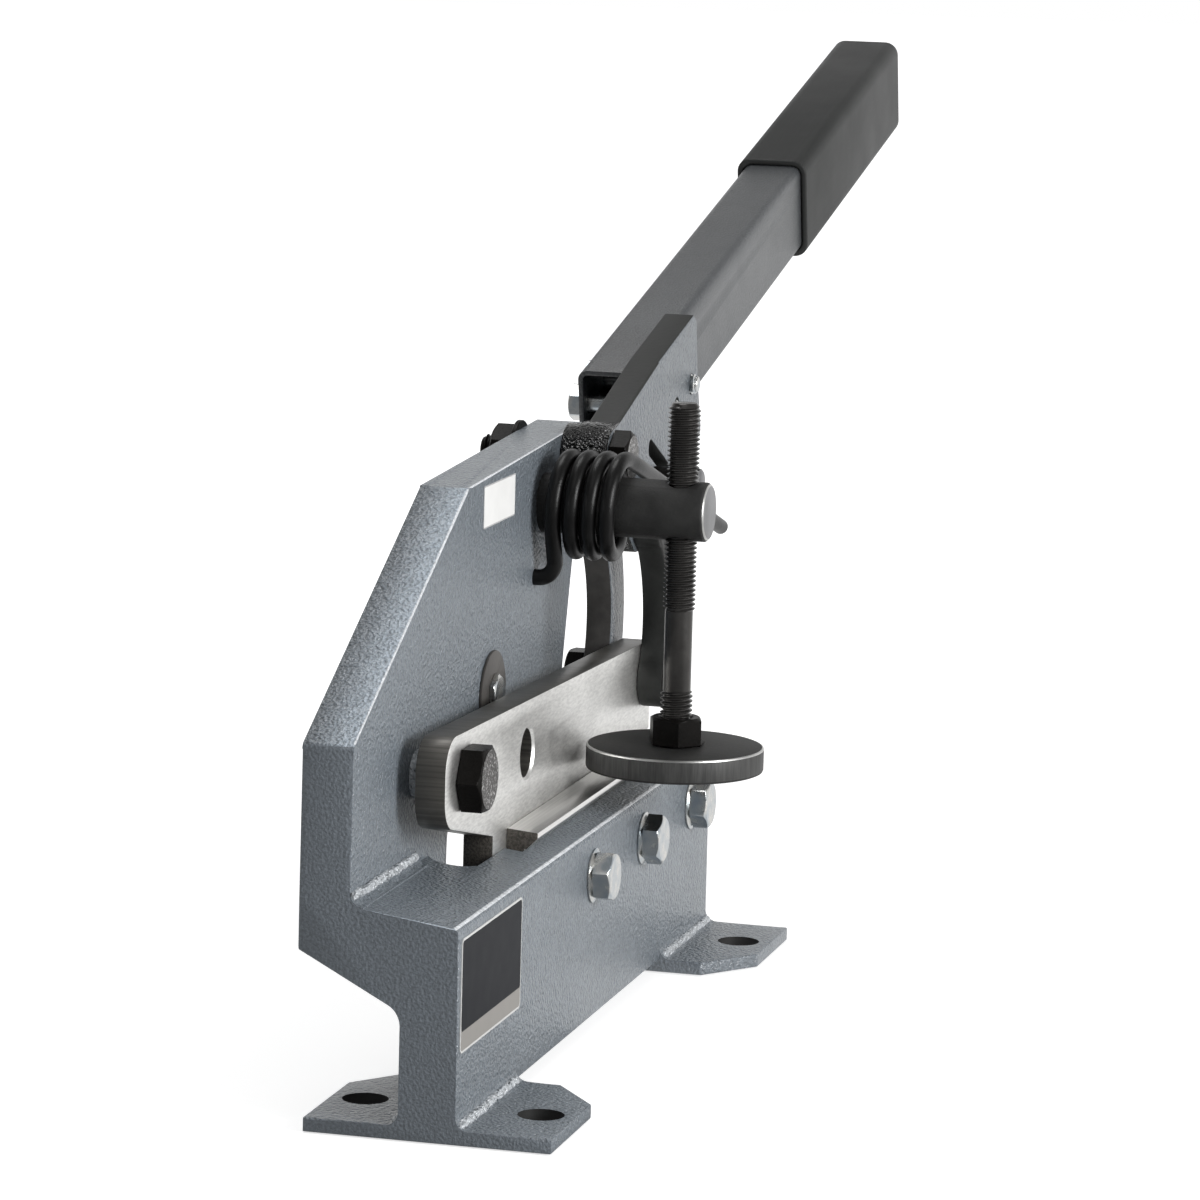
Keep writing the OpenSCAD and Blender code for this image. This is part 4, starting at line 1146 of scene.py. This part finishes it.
# The lever

FLAME_CUT_TO = 281.0
FLAME_CUT_ROUND = 2.4


def build_lever_plate():
    """The lever plate: textured faces, smooth edges and a black flame-cut near end."""
    edges = bpy.context.scene.shear_edges
    bm = cad_copy("lever_plate")
    cut_x = at(FLAME_CUT_TO, 0, 0).x
    face_y = at(0, sides("lever_plate")[2] + 0.1, 0).y
    round_edges(bm, FLAME_CUT_ROUND * MM, angle=28, segments=3,
                where=lambda p: p.x < cut_x and p.y < face_y)
    round_edges(bm, edges.plate_radius, angle=50)
    paint_faces(bm, 1, lambda f: abs(f.normal.y) < 0.7)
    # The flame-cut near end: beads with painted shade in their seams.
    paint_faces(bm, 2, lambda f: f.calc_center_median().x < cut_x and abs(f.normal.y) < 0.97)
    finish_piece("lever_plate_piece", bm, "lever", ["plate", "lever_edge", "beaded"],
                 ("lever_plate",), 32)


def build_handle():
    """The box tube and the grip pushed over it."""
    bm = cad_copy("lever_tube")
    round_edges(bm, 0.3 * MM, angle=40)
    finish_piece("tube_piece", bm, "lever", ["handle", "inside"], ("lever_tube",), 40)
    bm = cad_copy("grip")
    round_edges(bm, 0.8 * MM, angle=40, segments=3)
    finish_piece("grip_piece", bm, "lever", ["grip"], ("grip",), 40)


# The hold-down

ROD_RADIUS = 6.0
BORE_RADIUS = 6.05
SHANK_RADIUS = 5.2
SHANK_FROM = 118.5
THREAD_FROM = 146.6


def build_hold_down():
    """Pad, nut and threaded rod."""
    pitch = bpy.context.scene.shear_threads.rod_pitch
    x, y, _ = middle("clamp_rod")
    x0, x1, _, _, z0, z1 = sides("clamp_pad")
    r, t = (x1 - x0) / 2, z1 - z0
    profile = [(t - 6, BORE_RADIUS), (t, BORE_RADIUS), (t, 12.0), (t, r - 0.7), (t - 0.2, r - 0.2),
               (t - 0.7, r), (0.9, r), (0.25, r - 0.3), (0, r - 0.9), (0, 4.0)]
    bm = bmesh.new()
    lathe(bm, at(x, y, z0), Z_AXIS, [(h * MM, q * MM) for h, q in profile], 128)
    low_z, top_z = (z0 + 0.5) * MM, (z1 - 0.02) * MM
    rim = (r - 1.2) * MM
    centre = at(x, y, 0).to_2d()

    def at_rim(f):
        return (f.calc_center_median().to_2d() - centre).length > rim

    paint_faces(bm, 1, lambda f: abs(f.normal.z) < 0.2 and at_rim(f))
    # The pad's rounded top rim takes the light steel: a painted highlight line.
    paint_faces(bm, 2, lambda f: f.normal.z > 0.2 and at_rim(f)
                and low_z < f.calc_center_median().z < top_z)
    finish_piece("pad_piece", bm, "pad", ["pad", "pad_side", "bright_edge"], ("clamp_pad",),
                 30)

    bm = bmesh.new()
    rod_low, rod_top = sides("clamp_rod")[4:6]
    shank = SHANK_RADIUS * MM
    threaded(bm, at(x, y, THREAD_FROM), Z_AXIS, ROD_RADIUS * MM, (rod_top - THREAD_FROM) * MM, pitch)
    lathe(bm, at(x, y, SHANK_FROM - 1), Z_AXIS,
          [(0, shank), ((THREAD_FROM - SHANK_FROM + 2) * MM, shank)], 48)
    threaded(bm, at(x, y, rod_low), Z_AXIS, ROD_RADIUS * MM, (SHANK_FROM - rod_low) * MM, pitch)
    finish_piece("rod_piece", bm, "screw", ["thread"], ("clamp_rod",), 50)

    bm = bmesh.new()
    low, top = sides("clamp_nut")[4:6]
    hex_head(bm, at(x, y, low), Z_AXIS, 18 * MM, (top - low) * MM, 0.35, bore=BORE_RADIUS * MM)
    tack = [at(x - 1.5, y - 9.3, low + 0.6), at(x + 3.5, y - 9.5, low + 0.9)]
    wire(bm, tack, 0.8 * MM)
    finish_piece("clamp_nut_piece", bm, "screw", ["black"], ("clamp_nut",), 28)


# Stage

CAMERA_PLACE = (-1673, -482, 459)
SENSOR_WIDTH = 36
LAMP_TARGET = (200, 30, 150)
LAMPS = (
    ("key_lamp", (-600, -60, 1350), 0.9, "key"),
    ("fill_lamp", (-250, -1400, 560), 0.7, "fill"),
    ("rim_lamp", (614, 310, 1443), 0.6, "rim"),
)
REFLECTED_BEHIND = 0.3
REFLECTED_ABOVE = 0.3
AHEAD_FROM = (-0.45, 0.35)
ABOVE_FROM = (0.25, 0.6)
FLOOR_RADIUS = 8.0
FLOOR_Z = -0.0004
FLOOR_GLOW = 0.66
FLOOR_FADE = (0.45, 1.1)
FLOOR_COLOUR = (0.62, 0.62, 0.62)


def area_light(name, place, target, size, watts):
    """A square lamp of a size in metres that points at a target."""
    data = bpy.data.lights.new(name, "AREA")
    data.shape = "RECTANGLE"
    data.size, data.size_y = size, size
    data.energy = watts
    lamp = bpy.data.objects.new(name, data)
    lamp.location = place
    lamp.rotation_euler = (target - place).to_track_quat("-Z", "Y").to_euler()
    bpy.context.scene.collection.objects.link(lamp)


def build_camera():
    """The photograph's camera, from its heading, pitch and roll."""
    stage = bpy.context.scene.shear_stage
    yaw, pitch, roll = stage.yaw, stage.pitch, stage.roll
    look = Vector((math.cos(yaw) * math.cos(pitch), math.sin(yaw) * math.cos(pitch), math.sin(pitch)))
    right = Vector((math.sin(yaw), -math.cos(yaw), 0))
    up = right.cross(look)
    tilted_right = right * math.cos(roll) + up * math.sin(roll)
    tilted_up = up * math.cos(roll) - right * math.sin(roll)
    data = bpy.data.cameras.new("camera")
    data.sensor_width = SENSOR_WIDTH
    data.lens = stage.focal
    data.clip_start, data.clip_end = 0.05, 50
    camera = bpy.data.objects.new("camera", data)
    turn = Matrix((tilted_right, tilted_up, -look)).transposed().to_4x4()
    camera.matrix_world = Matrix.Translation(at(*CAMERA_PLACE)) @ turn
    bpy.context.scene.collection.objects.link(camera)
    bpy.context.scene.camera = camera


def ahead(tree, along_x):
    """A level of reflected light: dark towards the near end, full towards the far end."""
    return smooth_range(tree, along_x, *AHEAD_FROM, REFLECTED_BEHIND, 1.0)


def build_world(sky):
    """White for the camera, for reflections white ahead and dark behind, even light for the rest."""
    world = bpy.data.worlds.new("world")
    world.use_nodes = True
    bpy.context.scene.world = world
    tree = world.node_tree
    path = tree.nodes.new("ShaderNodeLightPath")
    seen = path.outputs["Is Camera Ray"]
    mirrored = math_node(tree, "MAXIMUM", path.outputs["Is Glossy Ray"],
                         path.outputs["Is Transmission Ray"])
    source = tree.nodes.new("ShaderNodeTexCoord")
    direction = parts_of(tree, source.outputs["Generated"])
    low = smooth_range(tree, direction["Z"], *ABOVE_FROM, 1.0, REFLECTED_ABOVE)
    level = math_node(tree, "MULTIPLY", ahead(tree, direction["X"]), low)
    even = math_node(tree, "MULTIPLY", math_node(tree, "SUBTRACT", 1.0, mirrored), sky)
    other = math_node(tree, "ADD", math_node(tree, "MULTIPLY", level, mirrored), even)
    strength = math_node(tree, "MAXIMUM", other, seen)
    background = tree.nodes["Background"]
    background.inputs["Color"].default_value = (1, 1, 1, 1)
    tree.links.new(strength, background.inputs["Strength"])


def build_floor():
    """A pale floor that runs into the white background and keeps a faint shadow."""
    bm = bmesh.new()
    bmesh.ops.create_circle(bm, cap_ends=True, segments=64, radius=FLOOR_RADIUS)
    mesh = bpy.data.meshes.new("floor")
    bm.to_mesh(mesh)
    bm.free()
    floor = bpy.data.objects.new("floor", mesh)
    bpy.context.scene.collection.objects.link(floor)
    floor.location.z = FLOOR_Z
    mat, tree, shader = new_material("floor_paper", FLOOR_COLOUR, 0.9, 0.0, 0.1)
    path = tree.nodes.new("ShaderNodeLightPath")
    place = tree.nodes.new("ShaderNodeNewGeometry")
    length = tree.nodes.new("ShaderNodeVectorMath")
    length.operation = "LENGTH"
    tree.links.new(place.outputs["Position"], length.inputs[0])
    heading = math_node(tree, "DIVIDE", parts_of(tree, place.outputs["Position"])["X"],
                        length.outputs["Value"])
    mirror = tree.nodes.new("ShaderNodeEmission")
    tree.links.new(ahead(tree, heading), mirror.inputs["Strength"])
    far = smooth_range(tree, length.outputs["Value"], *FLOOR_FADE, FLOOR_GLOW, 1.0)
    glow = tree.nodes.new("ShaderNodeEmission")
    seen = math_node(tree, "MULTIPLY", far, path.outputs["Is Camera Ray"])
    tree.links.new(seen, glow.inputs["Strength"])
    add = tree.nodes.new("ShaderNodeAddShader")
    tree.links.new(shader.outputs["BSDF"], add.inputs[0])
    tree.links.new(glow.outputs["Emission"], add.inputs[1])
    mix = tree.nodes.new("ShaderNodeMixShader")
    tree.links.new(path.outputs["Is Glossy Ray"], mix.inputs["Fac"])
    tree.links.new(add.outputs["Shader"], mix.inputs[1])
    tree.links.new(mirror.outputs["Emission"], mix.inputs[2])
    tree.links.new(mix.outputs["Shader"], tree.nodes["Material Output"].inputs["Surface"])
    mesh.materials.append(mat)


def build_stage():
    """A pale floor, soft lamps, an even sky and the camera."""
    stage = bpy.context.scene.shear_stage
    bpy.context.scene.view_settings.view_transform = "Standard"
    build_world(stage.sky)
    build_floor()
    for name, place, size, key in LAMPS:
        area_light(name, at(*place), at(*LAMP_TARGET), size, getattr(stage, key))
    build_camera()


# Operators


class SHEAR_OT_materials(bpy.types.Operator):
    """Makes the paints, steels and plastics"""

    bl_idname = "shear.materials"
    bl_label = "Materials"
    bl_options = {"REGISTER", "UNDO"}

    def execute(self, context):
        MATERIALS.update(make_materials())
        return {"FINISHED"}


class SHEAR_OT_frame_skin(bpy.types.Operator):
    """Makes the welded frame's painted skin"""

    bl_idname = "shear.frame_skin"
    bl_label = "Frame"
    bl_options = {"REGISTER", "UNDO"}

    def execute(self, context):
        build_frame_skin()
        return {"FINISHED"}


class SHEAR_OT_welds(bpy.types.Operator):
    """Runs the painted weld beads"""

    bl_idname = "shear.welds"
    bl_label = "Weld beads"
    bl_options = {"REGISTER", "UNDO"}

    def execute(self, context):
        build_welds()
        return {"FINISHED"}


class SHEAR_OT_labels(bpy.types.Operator):
    """Makes the bare plate and the bare sticker"""

    bl_idname = "shear.labels"
    bl_label = "Plates"
    bl_options = {"REGISTER", "UNDO"}

    def execute(self, context):
        build_labels()
        return {"FINISHED"}


class SHEAR_OT_low_blade(bpy.types.Operator):
    """Makes the ground lower blade"""

    bl_idname = "shear.low_blade"
    bl_label = "Lower blade"
    bl_options = {"REGISTER", "UNDO"}

    def execute(self, context):
        build_lower_blade()
        return {"FINISHED"}


class SHEAR_OT_blade(bpy.types.Operator):
    """Makes the moving blade"""

    bl_idname = "shear.blade"
    bl_label = "Moving blade"
    bl_options = {"REGISTER", "UNDO"}

    def execute(self, context):
        build_moving_blade()
        return {"FINISHED"}


class SHEAR_OT_pivots(bpy.types.Operator):
    """Makes the black pivot bolts and nuts"""

    bl_idname = "shear.pivots"
    bl_label = "Pivot bolts"
    bl_options = {"REGISTER", "UNDO"}

    def execute(self, context):
        build_pivot_bolts()
        return {"FINISHED"}


class SHEAR_OT_zinc(bpy.types.Operator):
    """Makes the zinc plated bolts"""

    bl_idname = "shear.zinc"
    bl_label = "Zinc bolts"
    bl_options = {"REGISTER", "UNDO"}

    def execute(self, context):
        build_zinc_bolts()
        return {"FINISHED"}


class SHEAR_OT_links(bpy.types.Operator):
    """Makes the links and their pins"""

    bl_idname = "shear.links"
    bl_label = "Links"
    bl_options = {"REGISTER", "UNDO"}

    def execute(self, context):
        build_links()
        return {"FINISHED"}


class SHEAR_OT_spring(bpy.types.Operator):
    """Winds the return spring"""

    bl_idname = "shear.spring"
    bl_label = "Spring"
    bl_options = {"REGISTER", "UNDO"}

    def execute(self, context):
        build_spring()
        return {"FINISHED"}


class SHEAR_OT_bars(bpy.types.Operator):
    """Makes the spring's bar and the peg"""

    bl_idname = "shear.bars"
    bl_label = "Bar and peg"
    bl_options = {"REGISTER", "UNDO"}

    def execute(self, context):
        build_bars()
        return {"FINISHED"}


class SHEAR_OT_lever(bpy.types.Operator):
    """Makes the lever plate"""

    bl_idname = "shear.lever"
    bl_label = "Lever plate"
    bl_options = {"REGISTER", "UNDO"}

    def execute(self, context):
        build_lever_plate()
        return {"FINISHED"}


class SHEAR_OT_handle(bpy.types.Operator):
    """Makes the tube and the grip"""

    bl_idname = "shear.handle"
    bl_label = "Handle"
    bl_options = {"REGISTER", "UNDO"}

    def execute(self, context):
        build_handle()
        return {"FINISHED"}


class SHEAR_OT_hold_down(bpy.types.Operator):
    """Makes the pad, nut and threaded rod"""

    bl_idname = "shear.hold_down"
    bl_label = "Hold-down"
    bl_options = {"REGISTER", "UNDO"}

    def execute(self, context):
        build_hold_down()
        return {"FINISHED"}


class SHEAR_OT_stage(bpy.types.Operator):
    """Makes the floor, lamps and camera"""

    bl_idname = "shear.stage"
    bl_label = "Stage"
    bl_options = {"REGISTER", "UNDO"}

    def execute(self, context):
        build_stage()
        return {"FINISHED"}


OPERATORS = (
    SHEAR_OT_materials,
    SHEAR_OT_frame_skin,
    SHEAR_OT_welds,
    SHEAR_OT_labels,
    SHEAR_OT_low_blade,
    SHEAR_OT_blade,
    SHEAR_OT_pivots,
    SHEAR_OT_zinc,
    SHEAR_OT_links,
    SHEAR_OT_spring,
    SHEAR_OT_bars,
    SHEAR_OT_lever,
    SHEAR_OT_handle,
    SHEAR_OT_hold_down,
    SHEAR_OT_stage,
)
GROUPS = ((ShearPaint, "shear_paint"), (ShearEdges, "shear_edges"), (ShearThreads, "shear_threads"),
          (ShearStage, "shear_stage"))


class SHEAR_PT_panel(bpy.types.Panel):
    """The add-on's panel"""

    bl_label = "Bench lever shear"
    bl_idname = "SHEAR_PT_panel"
    bl_space_type = "VIEW_3D"
    bl_region_type = "UI"
    bl_category = "Shear"

    def draw(self, context):
        for cls, name in GROUPS:
            box = self.layout.box()
            for key in cls.__annotations__:
                box.prop(getattr(context.scene, name), key)
        for cls in OPERATORS:
            self.layout.operator(cls.bl_idname)


def register():
    for cls, name in GROUPS:
        bpy.utils.register_class(cls)
        setattr(bpy.types.Scene, name, bpy.props.PointerProperty(type=cls))
    for cls in OPERATORS:
        bpy.utils.register_class(cls)
    bpy.utils.register_class(SHEAR_PT_panel)


def unregister():
    bpy.utils.unregister_class(SHEAR_PT_panel)
    for cls in reversed(OPERATORS):
        bpy.utils.unregister_class(cls)
    for cls, name in reversed(GROUPS):
        delattr(bpy.types.Scene, name)
        bpy.utils.unregister_class(cls)


def main():
    register()
    for cls in OPERATORS:
        group, call = cls.bl_idname.split(".")
        getattr(getattr(bpy.ops, group), call)()


if __name__ == "__main__":
    main()
